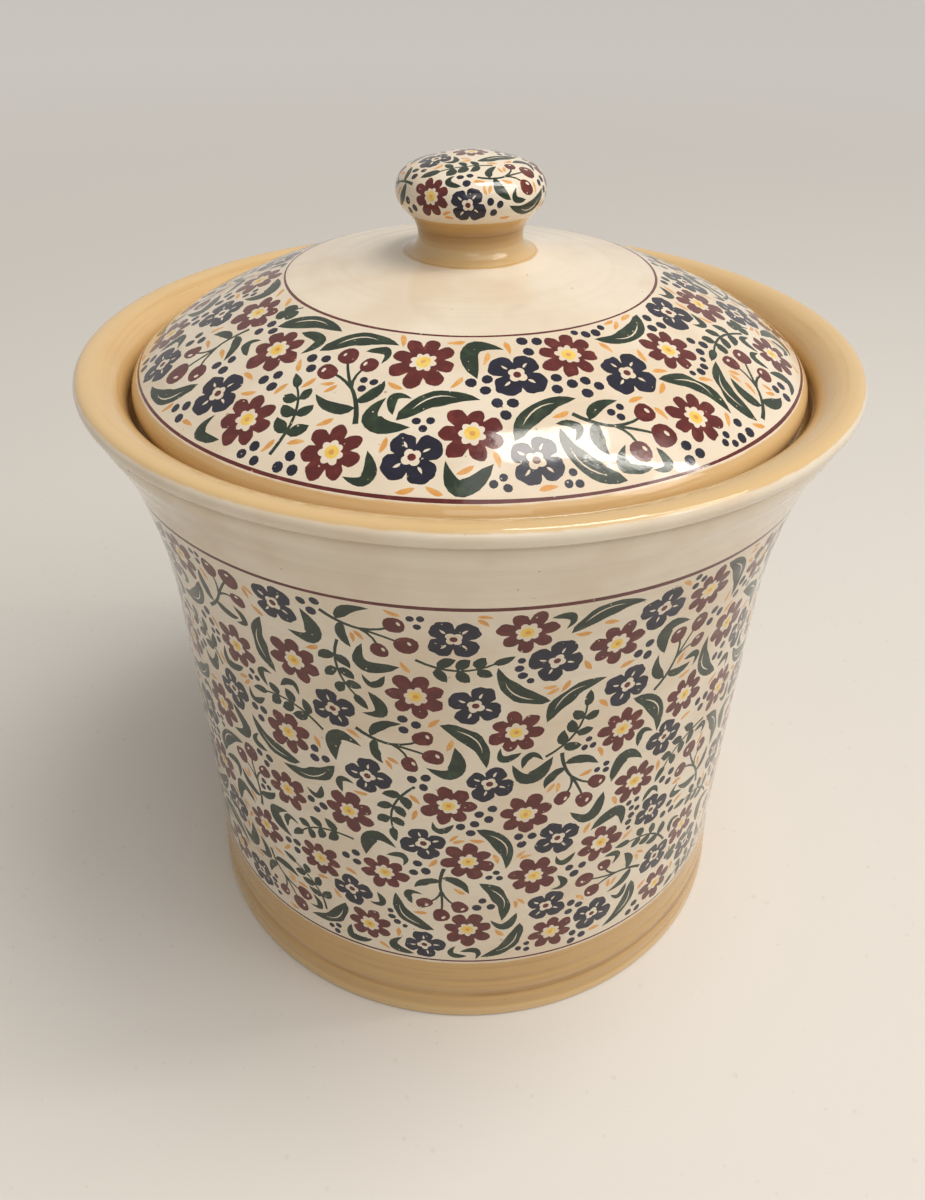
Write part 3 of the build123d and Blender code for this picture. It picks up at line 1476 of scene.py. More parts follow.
    def ring(self, base: float, shift: np.ndarray) -> Ring:
        """A row of corners at a run, shifted a little along the section at each one.

        Args:
            base: Its run.
            shift: How far each corner strays from that.

        Returns:
            The ring, closed by its first corner.
        """
        turn = np.arange(self.columns) / self.columns
        ids = self.corners(turn * TURN, base + shift)
        run = base + shift
        return Ring(np.append(ids, ids[0]), np.append(turn, 1.0), np.append(run, run[0]), base)

    def fill(self, corners: np.ndarray, places: np.ndarray, slots: np.ndarray) -> None:
        """Adds faces.

        Args:
            corners: Numbers of the corners of each face.
            places: Their texture places.
            slots: The ink of each face.
        """
        self.faces += corners.tolist()
        self.places.append(places.reshape(-1, 2))
        self.slots += slots.tolist()

    def bridge(self, low: Ring, high: Ring, patch: Patch, ink: Ink) -> None:
        """Joins two rings with faces.

        Args:
            low: The lower ring.
            high: The upper one.
            patch: Their texture patch.
            ink: What they are painted with.
        """
        columns = [(low, 0), (low, 1), (high, 1), (high, 0)]
        if low.pole:
            columns = [(low, 0), (high, 1), (high, 0)]
        elif high.pole:
            columns = [(low, 0), (low, 1), (high, 0)]
        last = self.columns
        corners = np.stack([ring.ids[k : last + k] for ring, k in columns], 1)
        turn = np.stack([ring.turn[k : last + k] for ring, k in columns], 1)
        run = np.stack([ring.run[k : last + k] for ring, k in columns], 1)
        self.fill(corners, patch.place(turn, run), np.full(last, ink.value))

    def waver(self, amount: float) -> np.ndarray:
        """How a hand-held brush strays along the section, round the piece.

        Args:
            amount: How far it strays, in millimetres.

        Returns:
            How far it strays at each corner.
        """
        angle = np.arange(self.columns) * TURN / self.columns
        strays = [np.sin(k * angle + self.rng.uniform(0, TURN)) / math.sqrt(k) for k in (1, 2, 3, 5, 8, 13)]
        return amount * np.sum(strays, axis=0) / 2

    def build(self, materials: list[bpy.types.Material]) -> bpy.types.Object:
        """Makes the piece.

        Args:
            materials: The stoneware and the inks.

        Returns:
            The object, in place.
        """
        ring = self.pole(0.0)
        last = self.section.run[-1]
        shift = np.zeros(self.columns)
        for stretch in self.stretches():
            end = self.at(stretch.end)
            to_shift = self.waver(stretch.waver) if stretch.waver else np.zeros(self.columns)
            if stretch.printed:
                high = self.pole(last) if end >= last else self.ring(end, to_shift)
                self.print_between(ring, high, stretch)
                ring = high
            else:
                rows = self.section.rows(ring.base, end, stretch.step, self.row_turn)
                first = ring.base
                for base in rows[1:]:
                    share = (base - first) / (end - first)
                    here = shift * (1 - share) + to_shift * share
                    high = self.pole(last) if base >= last - 1e-6 else self.ring(base, here)
                    self.bridge(ring, high, stretch.patch, stretch.ink)
                    ring = high
            shift = to_shift
        return self.finish(materials)

    def print_between(self, low: Ring, high: Ring, stretch: Stretch) -> None:
        """Fills the band between two rings with printed motifs and the ground round them.

        Args:
            low: The ring where the band starts.
            high: The ring where it ends, or the pole.
            stretch: The stretch, with its texture patches.
        """
        chart = Chart(self.section, low.base, high.base)
        print_end = high.base - (self.POLE_CLEAR if high.pole else 0)
        pattern = Pattern(chart, low.base, print_end, self.print_size, self.rng)
        self.print_on(pattern, Stamps(self.rng))

        inlay = Inlay()
        for rim in (low,) if high.pole else (low, high):
            inlay.outline(chart.flat(rim.turn[:-1] * TURN, rim.run[:-1]), Ink.SLIP)
        if high.pole:
            inlay.add(np.zeros((1, 2)))
        known = np.concatenate([low.ids[:-1], high.ids[:1] if high.pole else high.ids[:-1]])
        steps = int((high.base - low.base) / self.SEAM_STEP)
        seam_run = np.linspace(low.run[0], high.run[0], steps + 1)[1:-1]
        seam = [0, *inlay.add(chart.flat(np.zeros(steps - 1), seam_run)), self.columns]
        inlay.add(self.ground(chart, pattern, low, high))
        for ink, outline in pattern.outlines:
            inlay.outline(outline, ink)
        place, parts, sources, owners = inlay.cut(seam)

        theta, run = chart.back(place)
        rims = [[number for number in source if number < len(known)] for source in sources]
        ids = np.array([known[rim[0]] if rim else -1 for rim in rims])
        new = ids < 0
        ids[new] = self.corners(theta[new], run[new])
        inner_rim = None if high.pole else 1
        kept = [k for k, own in enumerate(owners) if 0 in own and inner_rim not in own]
        corners = np.array([parts[k] for k in kept])
        inks = np.array([inlay.inks[max(owners[k])] for k in kept])
        turn = self.turns(place[corners], theta[corners])
        on_ground, in_ink = (patch.place(turn, run[corners]) for patch in (stretch.patch, stretch.printed))
        self.fill(ids[corners], np.where((inks == Ink.SLIP.value)[:, None, None], on_ground, in_ink), inks)
        log.info("  %s: %d outlines, %d faces in the band", self.name, len(pattern.outlines), len(kept))

    @staticmethod
    def turns(place: np.ndarray, theta: np.ndarray) -> np.ndarray:
        """Shares of a turn at the corners of faces, unbroken across each face.

        Args:
            place: Where the corners lie on the chart.
            theta: Their angles.

        Returns:
            The shares, from 0 to 1.
        """
        middle = place.mean(1)
        middle_turn = (np.arctan2(middle[:, 1], middle[:, 0]) / TURN) % 1
        beyond = (theta / TURN - middle_turn[:, None] + 0.5) % 1 - 0.5
        return np.clip(middle_turn[:, None] + beyond, 0, 1)

    def ground(self, chart: Chart, pattern: Pattern, low: Ring, high: Ring) -> np.ndarray:
        """Points of the plain ground, clear of every outline.

        Args:
            chart: The flat chart of the band.
            pattern: The motifs on it.
            low: The ring where it starts.
            high: The ring where it ends.

        Returns:
            The points, on the chart.
        """
        apart = self.GROUND_STEP * self.print_size
        first, last = low.base + apart * 0.8, high.base - apart * 0.6
        rows = []
        for k, run in enumerate(np.arange(first, last, apart * self.ROW_SHARE)):
            count = max(6, int(TURN * np.interp(run, chart.run, chart.radius) / apart))
            theta = (np.arange(count) + 0.5 * (k % 2) + 0.25) * TURN / count
            rows.append(np.stack([theta, np.full(count, run)], 1))
        points = np.concatenate(rows)
        taken = np.zeros((pattern.rows + 2, pattern.across), bool)
        outline = np.concatenate([points_of for _, points_of in pattern.outlines])
        depth = -np.log(np.hypot(*outline.T) / chart.scale)
        line, column = pattern.cells(np.arctan2(outline[:, 1], outline[:, 0]) % TURN, depth)
        for down, side in product(self.CLEAR_CELLS, self.CLEAR_CELLS):
            taken[np.clip(line + down, 0, pattern.rows + 1), (column + side) % pattern.across] = True
        line, column = pattern.cells(points[:, 0], np.interp(points[:, 1], chart.run, chart.depth))
        free = ~taken[np.clip(line, 0, pattern.rows + 1), column]
        return chart.flat(points[free, 0], points[free, 1])

    def finish(self, materials: list[bpy.types.Material]) -> bpy.types.Object:
        """Turns the corners and faces into an object.

        Args:
            materials: The stoneware and the inks.

        Returns:
            The object, in place.
        """
        theta, run = np.concatenate(self.theta), np.concatenate(self.run)
        mesh = bpy.data.meshes.new(self.name)
        mesh.from_pydata((self.surface(theta, run) * MM).tolist(), [], self.faces)
        for material in materials:
            mesh.materials.append(material)
        mesh.polygons.foreach_set("material_index", np.array(self.slots, np.int32))
        mesh.polygons.foreach_set("use_smooth", np.ones(len(self.faces), bool))
        layer = mesh.uv_layers.new(name="OFBake")
        layer.data.foreach_set("uv", np.concatenate(self.places).astype(np.float32).ravel())
        hollow = np.interp(run, self.section.run, self.section.hollow)
        in_hollows, off_crests = self.POOLING_AND_SHADE
        numbers = {
            "run": run,
            "honey": self.signed(run, self.honey()),
            "bare": self.signed(run, self.bare()),
            # Hollows and grooves: where glaze pools, and where the slip takes painted shade.
            "pool_and_shade": np.clip(in_hollows * hollow - off_crests * self.relief(theta, run), *self.POOL_AND_SHADE_RANGE),
        }
        for name, values in numbers.items():
            attribute = mesh.attributes.new(name, "FLOAT", "POINT")
            attribute.data.foreach_set("value", values.astype(np.float32))
        mesh.update()
        mesh.normals_split_custom_set_from_vertices(self.normals(theta, run).tolist())
        piece = bpy.data.objects.new(self.name, mesh)
        bpy.context.scene.collection.objects.link(piece)
        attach(piece, self.body)
        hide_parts(self.node)
        log.info("%s: %d corners, %d faces", self.name, len(theta), len(self.faces))
        return piece


@dataclass
class Pot(Turned):
    """The pot: a straight wall on a turned foot, a flared brim with a beaded lip, and a ledge for the lid.

    Attributes:
        grooves: Height, depth and half width of each groove in the foot band.
        cove: Width and height of the corner between floor and wall.
        cove_turn: Where the corner's wide arc meets the tighter one.
        crease: How far the crease under the bead lies inside and below the lip.
        roll: How far the top of the lip runs inwards, and how far it falls.
        brim_turning: Place from the crease, depth and reach of each mark of the turning tool.
        upper_line: Width of the maroon line on the flare.
        lower_line: Width of the one above the foot band.
        cream_foot: Width of the cream left below that.
        honey_on_bead: Where the honey glaze starts, from the bead's widest place.
        ring_wiped: How far the foot is wiped beyond its ring.
        ledge_wiped: How far inside its outer and its inner edge the ledge is wiped.
    """

    name: str = "glazed_pot"
    node: str = "jar_body"
    body: str = "jar"
    slot: str = "slip_glaze"

    flare_w: float = 19.4
    foot_out: float = 0.3
    foot_bevel: float = 0.8
    foot_ring_w: float = 8.0
    foot_recess: float = 3.0
    recess_lean: float = 2.5
    foot_band_h: float = 32.3
    foot_band_taper: float = 1.9
    grooves: tuple[Triple, ...] = ((6.2, 0.3, 2.0), (12.7, 0.6, 3.0), (20.8, 0.3, 2.0))
    wall: float = 7.0
    floor_t: float = 8.0
    cove: Pair = (15.0, 13.0)
    cove_turn: Pair = (3.9, 4.2)
    shoulder_drop: float = 85.5
    line_drop: float = 31.5
    line_inset: float = 12.0
    flare_wall: float = 9.6
    brim_drop: float = 15.5
    brim_inset: float = 5.6
    lip_w: float = 15.2
    bead_r: float = 3.0
    crease: Pair = (3.0, 6.4)
    roll: Pair = (5.6, 1.3)
    throat_drop: float = 11.9
    ledge_drop: float = 14.0
    ledge_w: float = 9.2
    ledge_face: float = 4.5
    ledge_edge: float = 1.2

    brim_turning: tuple[Triple, ...] = ((0.0, 0.75, 1.1), (-4.6, -0.25, 2.0), (-10.5, 0.3, 2.4))

    upper_line: float = 1.4
    lower_line: float = 1.0
    cream_foot: float = 0.9
    honey_on_bead: float = 2.2
    ring_wiped: float = 0.6
    ledge_wiped: Pair = (0.6, 0.2)

    def contour(self) -> Contour:
        """The half section.

        Returns:
            The outline, from the lower pole round to the upper one.
        """
        lip, top = self.reach, self.top
        body = lip - self.flare_w
        foot = body + self.foot_out
        ring_in = foot - self.foot_bevel - self.foot_ring_w
        waist = foot - self.foot_band_taper
        mouth = lip - self.lip_w
        ledge_z, ledge_in = top - self.ledge_drop, mouth - self.ledge_w
        floor_z = self.foot_recess + self.floor_t
        inside = waist - self.wall
        shoulder = (body - self.wall, top - self.shoulder_drop)
        swell = (lip - self.line_inset - self.flare_wall, top - self.line_drop)
        down_swell = math.atan2(shoulder[1] - swell[1], shoulder[0] - swell[0])
        cove_at = (inside - self.cove_turn[0], floor_z + self.cove_turn[1])
        floor_at = (inside - self.cove[0], floor_z)
        into_cove = 2 * math.atan2(floor_at[1] - cove_at[1], floor_at[0] - cove_at[0]) - Heading.IN

        line = Contour(0, self.foot_recess)
        line.line((ring_in - self.recess_lean, self.foot_recess), (ring_in, 0))
        line.line((foot - self.foot_bevel, 0)).mark("ring_out").line((foot, self.foot_bevel)).mark("foot")
        line.line((waist, self.foot_band_h)).mark("foot_band").line((body, top - self.shoulder_drop))
        line.arc(lip - self.line_inset, top - self.line_drop).mark("flare_line")
        line.arc(lip - self.brim_inset, top - self.brim_drop).mark("brim")
        line.arc(lip - self.crease[0], top - self.crease[1]).mark("crease")
        line.arc_into(lip, top - self.bead_r, Heading.UP).mark("widest")
        line.arc(lip - self.bead_r, top)
        line.arc(lip - self.bead_r - self.roll[0], top - self.roll[1], Heading.IN)
        line.arc(mouth, top - self.throat_drop)
        line.line((mouth, ledge_z + self.ledge_edge), (mouth - self.ledge_edge, ledge_z)).mark("ledge_out")
        line.line((ledge_in + self.ledge_edge, ledge_z)).mark("ledge_in")
        line.line((ledge_in, ledge_z - self.ledge_edge), (ledge_in, ledge_z - self.ledge_face))
        line.mark("under_ledge")
        line.arc_into(*swell, down_swell).mark("swell")
        line.line(shoulder, (inside, floor_z + self.cove[1])).mark("corner")
        line.arc_into(*cove_at, into_cove).arc_into(*floor_at, Heading.IN).mark("floor")
        return line.line((0, floor_z))

    def stretches(self) -> list[Stretch]:
        """The stretches from under the foot to the floor inside.

        Returns:
            The stretches, in order.
        """
        line_low = self.at("foot_band")
        line_high = self.at("flare_line")
        lip_end, wall_end = self.at("under_ledge"), self.at("corner")
        under = Disc(0.0, self.at("ring_out"), 0.1, 0.9, 0.09)
        outside = Strip(self.at("ring_out"), self.at("widest"), 0.245, 0.585)
        rim = Strip(self.at("widest"), lip_end, 0.59, 0.66)
        inside = Strip(lip_end, wall_end, 0.665, 0.8)
        floor = Disc(self.at("end"), wall_end, 0.3, 0.9, 0.09)
        print_first = line_low + self.lower_line / 2
        print_last = line_high - self.upper_line / 2
        prints = Strip(print_first - 1, print_last + 1, 0.004, 0.24)
        return [
            Stretch("ring_out", under, 9),
            Stretch("foot", outside, 2),
            Stretch(line_low - self.lower_line / 2, outside, 1.0, waver=0.22),
            Stretch(print_first, outside, 1, Ink.MAROON, waver=0.22),
            Stretch(print_last, outside, waver=0.26, printed=prints),
            Stretch(line_high + self.upper_line / 2, outside, 1, Ink.MAROON, waver=0.26),
            Stretch("widest", outside, 1.6),
            Stretch(lip_end, rim, 2.5),
            Stretch(wall_end, inside, 5),
            Stretch("end", floor, 7),
        ]

    def honey(self) -> list[Pair]:
        """The foot band, and everything from the bead inwards."""
        foot_end = self.at("foot_band") - self.lower_line / 2 - self.cream_foot
        return [(0.0, foot_end), (self.at("widest") + self.honey_on_bead, self.at("end") + self.FAR)]

    def bare(self) -> list[Pair]:
        """The ring that the jar stands on, with the hollow inside it, and the ledge under the lid.

        Returns:
            The first and last run of each.
        """
        outer, inner = self.ledge_wiped
        ledge = (self.at("ledge_out") + outer, self.at("ledge_in") - inner)
        return [(-self.FAR, self.at("ring_out") + self.ring_wiped), ledge]

    def thrown(self) -> list[Throwing]:
        """The spirals on the foot, the wall, the brim, inside and on the floor.

        Returns:
            The spirals.
        """
        return [
            Throwing(3.7, 0.12, "foot", "foot_band", 1),
            Throwing(12.0, 0.16, "foot_band", "flare_line", 6),
            Throwing(10.5, 0.2, self.at("flare_line") + 1, "crease", 5),
            Throwing(11.0, 0.55, "swell", "corner", 8),
            Throwing(9.0, 0.4, "floor", self.at("end") - 8, 8),
        ]

    def sway(self) -> Sway:
        """A wall that isn't quite round."""
        return Sway(((0.5, 2, 0.8), (0.3, 3, 2.1), (0.2, 5, 0.0)), "foot", "brim", 24)

    def relief(self, theta: np.ndarray, run: np.ndarray) -> np.ndarray:
        """How far the surface stands proud, with the grooves in the foot and the turning of the brim.

        Args:
            theta: Angles.
            run: Runs.

        Returns:
            The distances, negative where the surface lies deeper.
        """
        proud = super().relief(theta, run)
        height = np.interp(run, self.section.run, self.section.height)
        foot_band = self.window(run, "foot", "foot_band", 1.0)
        for middle, depth, half in self.grooves:
            proud = proud - foot_band * depth * np.clip(1 - ((height - middle) / half) ** 2, 0, 1)
        for above_crease, depth, spread in self.brim_turning:
            proud = proud - depth * np.exp(-(((run - self.at("crease") - above_crease) / spread) ** 2))
        return proud


@dataclass
class Lid(Turned):
    """The lid: a dome with a rolled edge, a seat, and a collar that hangs in the mouth.

    Attributes:
        edge_roll: How far the outer line lies inside the edge, and above its widest place.
        crown_share: Radius of the inner line, as a share of the lid's.
        brow_share: Radius where the slope turns over into the brow, as a share of the lid's.
        seat_out: How far the mouth's wall lies outside the edge.
        ledge_w: Width of the ledge that it sits on.
        outer_line: Width of the maroon line round the edge.
        inner_line: Width of the one round the crown.
        joint_fill: How far the glaze in the knob's joint spreads, how wide its crest is and how high.
        seat_wiped: How far inside its inner edge and beyond its outer edge the seat is wiped.
        honey_past: How far the honey glaze stays below the outer line and runs out of the joint.
    """

    name: str = "glazed_lid"
    node: str = "lid"
    body: str = "cover"
    slot: str = "slip_glaze"
    seed: int = 1

    edge_h: float = 4.7
    edge_under: float = 2.4
    edge_roll: Pair = (2.7, 5.9)
    dome_h: float = 42.6
    crown_share: float = 0.535
    crown_fall: float = 6.7
    brow_share: float = 0.821
    brow_fall: float = 20.3
    lid_wall: float = 6.5
    seat_out: float = 1.5
    ledge_w: float = 9.2
    collar_gap: float = 2.1
    collar_w: float = 5.5
    collar_h: float = 11.0
    collar_edge: float = 1.6
    knob_flat: float = 20.9

    outer_line: float = 1.0
    inner_line: float = 0.85
    joint_fill: Triple = (0.9, 0.35, 0.32)
    seat_wiped: Pair = (0.3, 0.4)
    honey_past: Pair = (0.5, 0.1)

    def contour(self) -> Contour:
        """The half section.

        Returns:
            The outline, from the lower pole round to the upper one.
        """
        edge, top = self.reach, self.top
        seat = top - self.dome_h
        collar = edge + self.seat_out - self.ledge_w - self.collar_gap
        collar_in = collar - self.collar_w
        crown = np.array([edge * self.crown_share, top - self.crown_fall])
        brow = np.array([edge * self.brow_share, top - self.brow_fall])
        slope_from = np.array([edge - self.edge_roll[0], seat + self.edge_h + self.edge_roll[1]])
        edge_rise = 2 * math.atan2(self.edge_roll[1], -self.edge_roll[0]) - Heading.UP
        rise = 2 * math.atan2(*(brow - slope_from)[::-1]) - edge_rise
        crown_rise = 2 * math.atan2(*(crown - brow)[::-1]) - rise
        below_crown = crown - self.lid_wall * np.array([math.sin(crown_rise), -math.cos(crown_rise)])
        below_brow = brow - self.lid_wall * np.array([math.sin(rise), -math.cos(rise)])
        fall = math.tan(rise)

        line = Contour(0, top - self.lid_wall)
        line.line((self.knob_flat, top - self.lid_wall), tuple(below_crown))
        line.arc(*below_brow, crown_rise - math.pi)
        line.line((collar_in, below_brow[1] + (collar_in - below_brow[0]) * fall)).mark("collar_root")
        foot = seat - self.collar_h
        line.line((collar_in, foot + self.collar_edge), (collar_in + self.collar_edge, foot))
        line.line((collar - self.collar_edge, foot), (collar, foot + self.collar_edge), (collar, seat))
        line.mark("seat_in").line((edge - self.edge_under, seat)).mark("seat_out")
        line.arc_into(edge, seat + self.edge_h, Heading.UP).mark("widest")
        line.arc(*slope_from).mark("outer_line").arc(*brow)
        out, crest, proud = self.joint_fill
        drop = self.crown_fall * out / (crown[0] - self.knob_flat)
        line.arc(*crown).mark("inner_line").line((self.knob_flat + out, top - drop)).mark("joint")
        line.line((self.knob_flat + crest, top + proud), (self.knob_flat - crest, top + proud))
        return line.line((self.knob_flat - out, top), (0, top))

    def stretches(self) -> list[Stretch]:
        """The stretches from under the dome to the flat that carries the knob.

        Returns:
            The stretches, in order.
        """
        outer, inner = self.at("outer_line"), self.at("inner_line")
        under = Disc(0.0, self.at("seat_out"), 0.25, 0.25, 0.245)
        over = Disc(self.at("end"), self.at("seat_out"), 0.25, 0.75, 0.245)
        prints = Disc(self.at("end"), outer - 1, 0.75, 0.75, 0.245)
        return [
            Stretch("collar_root", under, 4),
            Stretch("seat_out", under, 3),
            Stretch(outer, over, 1.5, waver=0.2),
            Stretch(outer + self.outer_line, over, 1, Ink.MAROON, waver=0.24),
            Stretch(inner - self.inner_line / 2, over, waver=0.2, printed=prints),
            Stretch(inner + self.inner_line / 2, over, 1, Ink.MAROON, waver=0.2),
            Stretch("joint", over, 4),
            Stretch("end", over, 1.2),
        ]

    def honey(self) -> list[Pair]:
        """Everything underneath, out to the rolled edge, and the joint with the knob.

        Returns:
            The first and last run of each.
        """
        below_line, out_of_joint = self.honey_past
        joint = (self.at("joint") - out_of_joint, self.at("end") + self.FAR)
        return [(-self.FAR, self.at("outer_line") - below_line), joint]

    def bare(self) -> list[Pair]:
        """The seat."""
        inside, beyond = self.seat_wiped
        return [(self.at("seat_in") + inside, self.at("seat_out") + beyond)]

    def thrown(self) -> list[Throwing]:
        """The spirals under the dome and on top of it.

        Returns:
            The spirals.
        """
        return [
            Throwing(9.0, 0.35, 6.0, "collar_root", 8),
            Throwing(10.0, 0.12, "outer_line", "joint", 8),
        ]

    def sway(self) -> Sway:
        """A top that isn't quite even."""
        return Sway(((0.6, 2, 2.2), (0.4, 3, 0.4)), "widest", "joint", 10)


@dataclass
class Knob(Turned):
    """The knob: a flared foot, a narrow stem and a round cap.

    Attributes:
        seat_r: Radius of its seat.
        foot: Radius and height of the foot's edge.
        stem: Radius and height of the narrowest place.
        under: Radius and height where the stem turns into the cap.
        cap_h: Height of the cap's widest place.
        brow: Radius and height where its side turns over into its top.
        print_from: Where the print starts, from under the cap.
        top_daisy: Scale of the daisy on top, and the radius kept clear for it.
        honey_up: How far the honey glaze runs on to the cap.
        seat_wiped: How far inside its edge the seat is wiped.
    """

    name: str = "glazed_knob"
    node: str = "lid_knob"
    body: str = "cover"
    slot: str = "honey_glaze"
    seed: int = 2
    columns: int = 120
    print_size: float = 0.7

    seat_r: float = 20.9
    foot: Pair = (21.3, 0.4)
    stem: Pair = (17.0, 4.8)
    under: Pair = (20.8, 12.6)
    cap_h: float = 18.8
    brow: Pair = (18.6, 26.1)

    print_from: float = 2.0
    top_daisy: Pair = (0.62, 7.2)
    honey_up: float = 0.4
    seat_wiped: float = 1.5

    def contour(self) -> Contour:
        """The half section.

        Returns:
            The outline, from the lower pole round to the upper one.
        """
        base = self.base
        line = Contour(0, base).line((self.seat_r, base)).mark("seat")
        line.line((self.foot[0], base + self.foot[1]))
        line.arc_into(self.stem[0], base + self.stem[1], Heading.UP).mark("stem")
        line.arc(self.under[0], base + self.under[1]).mark("under")
        line.arc_into(self.reach, base + self.cap_h, Heading.UP)
        line.arc(self.brow[0], base + self.brow[1])
        return line.arc_into(0, self.top, Heading.IN)

    def stretches(self) -> list[Stretch]:
        """The stretches from the seat to the top.

        Returns:
            The stretches, in order.
        """
        below = Disc(0.0, self.at("seat"), 0.25, 0.25, 0.24)
        stem = Disc(self.at("end"), self.at("seat"), 0.25, 0.75, 0.24)
        start = self.at("under") + self.print_from
        prints = Disc(self.at("end"), start - 0.5, 0.75, 0.75, 0.24)
        return [
            Stretch("seat", below, 5),
            Stretch(start, stem, 1.2),
            Stretch("end", stem, printed=prints),
        ]

    def honey(self) -> list[Pair]:
        """The foot and the stem."""
        return [(-self.FAR, self.at("under") + self.honey_up)]

    def bare(self) -> list[Pair]:
        """The seat, which is stuck to the lid."""
        return [(-self.FAR, self.at("seat") - self.seat_wiped)]

    def sway(self) -> Sway:
        """A cap that isn't quite round."""
        return Sway(((0.6, 2, 1.1), (0.4, 3, 2.6)), "stem", self.at("end") - 6, 8)

    def print_on(self, pattern: Pattern, stamps: Stamps) -> None:
        """Prints a daisy on top and small motifs round it.

        Args:
            pattern: The pattern on the cap.
            stamps: The stamps.
        """
        size, clear = self.top_daisy
        pattern.centre(stamps.daisy().scaled(size), clear)
        super().print_on(pattern, stamps)


# ---- the studio ---------------------------------------------------------------------------------
@dataclass(frozen=True)
class Lamp:
    """A soft box, or a soft ceiling.

    Attributes:
        name: Its name.
        at: Its place, in metres.
        aim: The point that it faces.
        power: The power of a box in watts, or the strength of a ceiling.
        size: The width and height of a box, in metres.
        spread: The angle that a ceiling fills, in degrees; none for a box.
        colour: The colour of its light.
    """

    name: str
    at: Triple
    aim: Triple
    power: float
    size: Pair = (1.0, 1.0)
    spread: float | None = None
    colour: Triple = (1.0, 1.0, 1.0)

    def build(self) -> None:
        """Hangs the lamp."""
        if self.spread is None:
            data = bpy.data.lights.new(self.name, "AREA")
            data.shape = "RECTANGLE"
            data.size, data.size_y = self.size
        else:
            data = bpy.data.lights.new(self.name, "SUN")
            data.angle = math.radians(self.spread)
        data.energy, data.color = self.power, self.colour
        lamp = bpy.data.objects.new(self.name, data)
        lamp.location = self.at
        lamp.rotation_euler = (Vector(self.aim) - Vector(self.at)).to_track_quat("-Z", "Y").to_euler()
        bpy.context.scene.collection.objects.link(lamp)


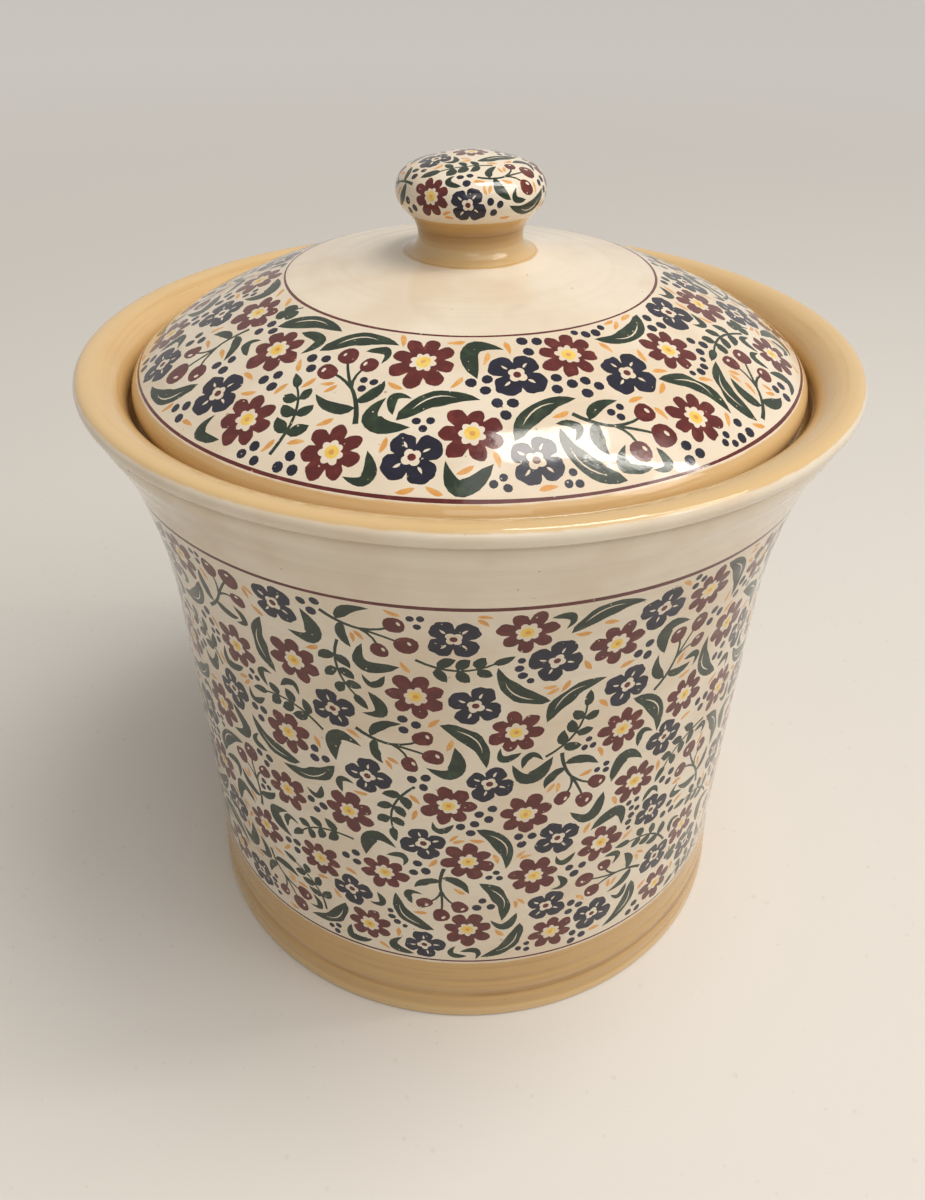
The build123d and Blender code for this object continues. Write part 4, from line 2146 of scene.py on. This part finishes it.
@dataclass
class Studio:
    """Camera, lamps, floor and surroundings.

    Attributes:
        eye: Where the camera is, in metres.
        pitch: How far it looks down, in degrees.
        yaw: How far it looks to the right, in degrees.
        roll: How far it is rolled, in degrees.
        focus: Its focal length, in pixels of the picture.
        picture: Width and height of the picture, in pixels.
        film: Size of the longer side of its film, in millimetres.
        clip: The nearest and the farthest that it sees, in metres.
        floor: Colour of the worktop by the jar.
        floor_far: Colour of the worktop far away.
        far: Where the one changes to the other, in millimetres.
        floor_half: Half the width of the worktop, in metres.
        flecks: Flecks in the worktop.
        floor_fleck: Their colour.
        floor_grain: Size and depth of the worktop's grain, in millimetres.
        floor_gloss: Least roughness of the worktop, and how much its grain adds.
        sky: Colour of the surroundings.
        sky_light: Share of that colour that falls on the jar.
        lamps: The lamps.
    """

    eye: Triple = (0.0, -0.32795, 0.35089)
    pitch: float = 35.345
    yaw: float = -0.344
    roll: float = -0.298
    focus: float = 985.09
    picture: tuple[int, int] = (925, 1200)
    film: float = 36.0
    clip: Pair = (0.01, 50.0)
    floor: Colour = tone(224, 220, 214)
    floor_far: Colour = tone(246, 244, 241)
    far: Pair = (400, 3000)
    floor_half: float = 30.0
    flecks: Specks = Specks(5.0, 0.22, 0.35)
    floor_fleck: Colour = tone(206, 201, 192)
    floor_grain: Pair = (3.0, 0.02)
    floor_gloss: Pair = (0.5, 0.1)
    sky: Colour = tone(208, 204, 198)
    sky_light: float = 0.49
    lamps: tuple[Lamp, ...] = (
        Lamp("key_box", (0.29, -0.01, 1.2), (0.03, -0.09, 0.2), 3.4, (0.26, 0.4), colour=(1.0, 0.94, 0.87)),
        Lamp("edge_box", (0.77, -0.04, 1.2), (0.13, -0.22, 0.2), 2.0, (0.04, 0.66), colour=(1.0, 0.95, 0.88)),
        Lamp("side_box", (1.5, -0.5, 1.5), (0, 0, 0.12), 6.5, (0.8, 0.8), colour=(1.0, 0.95, 0.9)),
        Lamp("front_box", (0.2, -1.7, 1.4), (0, 0, 0.12), 3.5, (0.9, 0.7), colour=(1.0, 0.97, 0.94)),
        Lamp("ceiling", (1.2, -0.6, 2.4), (0, 0, 0), 1.05, spread=55, colour=(1.0, 0.97, 0.93)),
    )

    def build(self) -> None:
        """Sets everything up round the jar."""
        self.place_camera()
        self.lay_floor()
        self.light_world()
        for lamp in self.lamps:
            lamp.build()

    def place_camera(self) -> None:
        """Looks down on the jar from the front."""
        pitch, yaw, roll = (math.radians(angle) for angle in (self.pitch, self.yaw, self.roll))
        forward = Vector((math.sin(yaw) * math.cos(pitch), math.cos(yaw) * math.cos(pitch), -math.sin(pitch)))
        level = Vector((math.cos(yaw), -math.sin(yaw), 0))
        down = forward.cross(level)
        right = level * math.cos(roll) + down * math.sin(roll)
        up = level * math.sin(roll) - down * math.cos(roll)
        data = bpy.data.cameras.new("camera")
        data.sensor_width = self.film
        data.lens = self.focus / max(self.picture) * self.film
        data.clip_start, data.clip_end = self.clip
        camera = bpy.data.objects.new("camera", data)
        turn = Matrix((right, up, -forward)).transposed().to_4x4()
        camera.matrix_world = Matrix.Translation(self.eye) @ turn
        bpy.context.scene.collection.objects.link(camera)
        bpy.context.scene.camera = camera

    def lay_floor(self) -> None:
        """Lays a pale worktop with faint flecks."""
        half = self.floor_half
        mesh = bpy.data.meshes.new("worktop")
        corners = [(-half, -half, 0), (half, -half, 0), (half, half, 0), (-half, half, 0)]
        mesh.from_pydata(corners, [], [(0, 1, 2, 3)])
        material, shader = new_shader("worktop")
        place = shader.place()
        far = shader.node("ShaderNodeVectorMath", {"operation": "LENGTH"}, {0: place}, "Value")
        pale = shader.mix(shader.ease(far, *self.far), self.floor, self.floor_far)
        colour = shader.speckled(place, self.flecks, pale, self.floor_fleck)
        size, depth = self.floor_grain
        least, more = self.floor_gloss
        grain = shader.noise(place, size)
        shader.surface(colour, grain * more + least, grain, depth)
        mesh.materials.append(material)
        worktop = bpy.data.objects.new("worktop", mesh)
        bpy.context.scene.collection.objects.link(worktop)

    def light_world(self) -> None:
        """Pale surroundings that the camera and reflections see, and a softer light from them."""
        world = bpy.data.worlds.new("surroundings")
        world.use_nodes = True
        bpy.context.scene.world = world
        shader = Shader(world.node_tree)
        path = shader.node("ShaderNodeLightPath", output="Is Camera Ray")
        outputs = path.socket.node.outputs
        seen = shader.maths("MAXIMUM", path, Value(shader, outputs["Is Glossy Ray"]))
        seen = shader.maths("MAXIMUM", seen, Value(shader, outputs["Is Transmission Ray"]))
        strength = seen * (1 - self.sky_light) + self.sky_light
        back = shader.node("ShaderNodeBackground", {}, {0: self.sky, 1: strength})
        shader.node("ShaderNodeOutputWorld", {}, {0: back})


def main() -> None:
    """Builds the studio and then the jar, piece by piece."""
    logging.basicConfig(level=logging.INFO, format="%(message)s")
    bpy.context.scene.view_settings.view_transform = "Standard"
    Studio().build()
    materials = finishes()
    for piece in (Pot(), Lid(), Knob()):
        piece.build(materials)


if __name__ == "__main__":
    main()
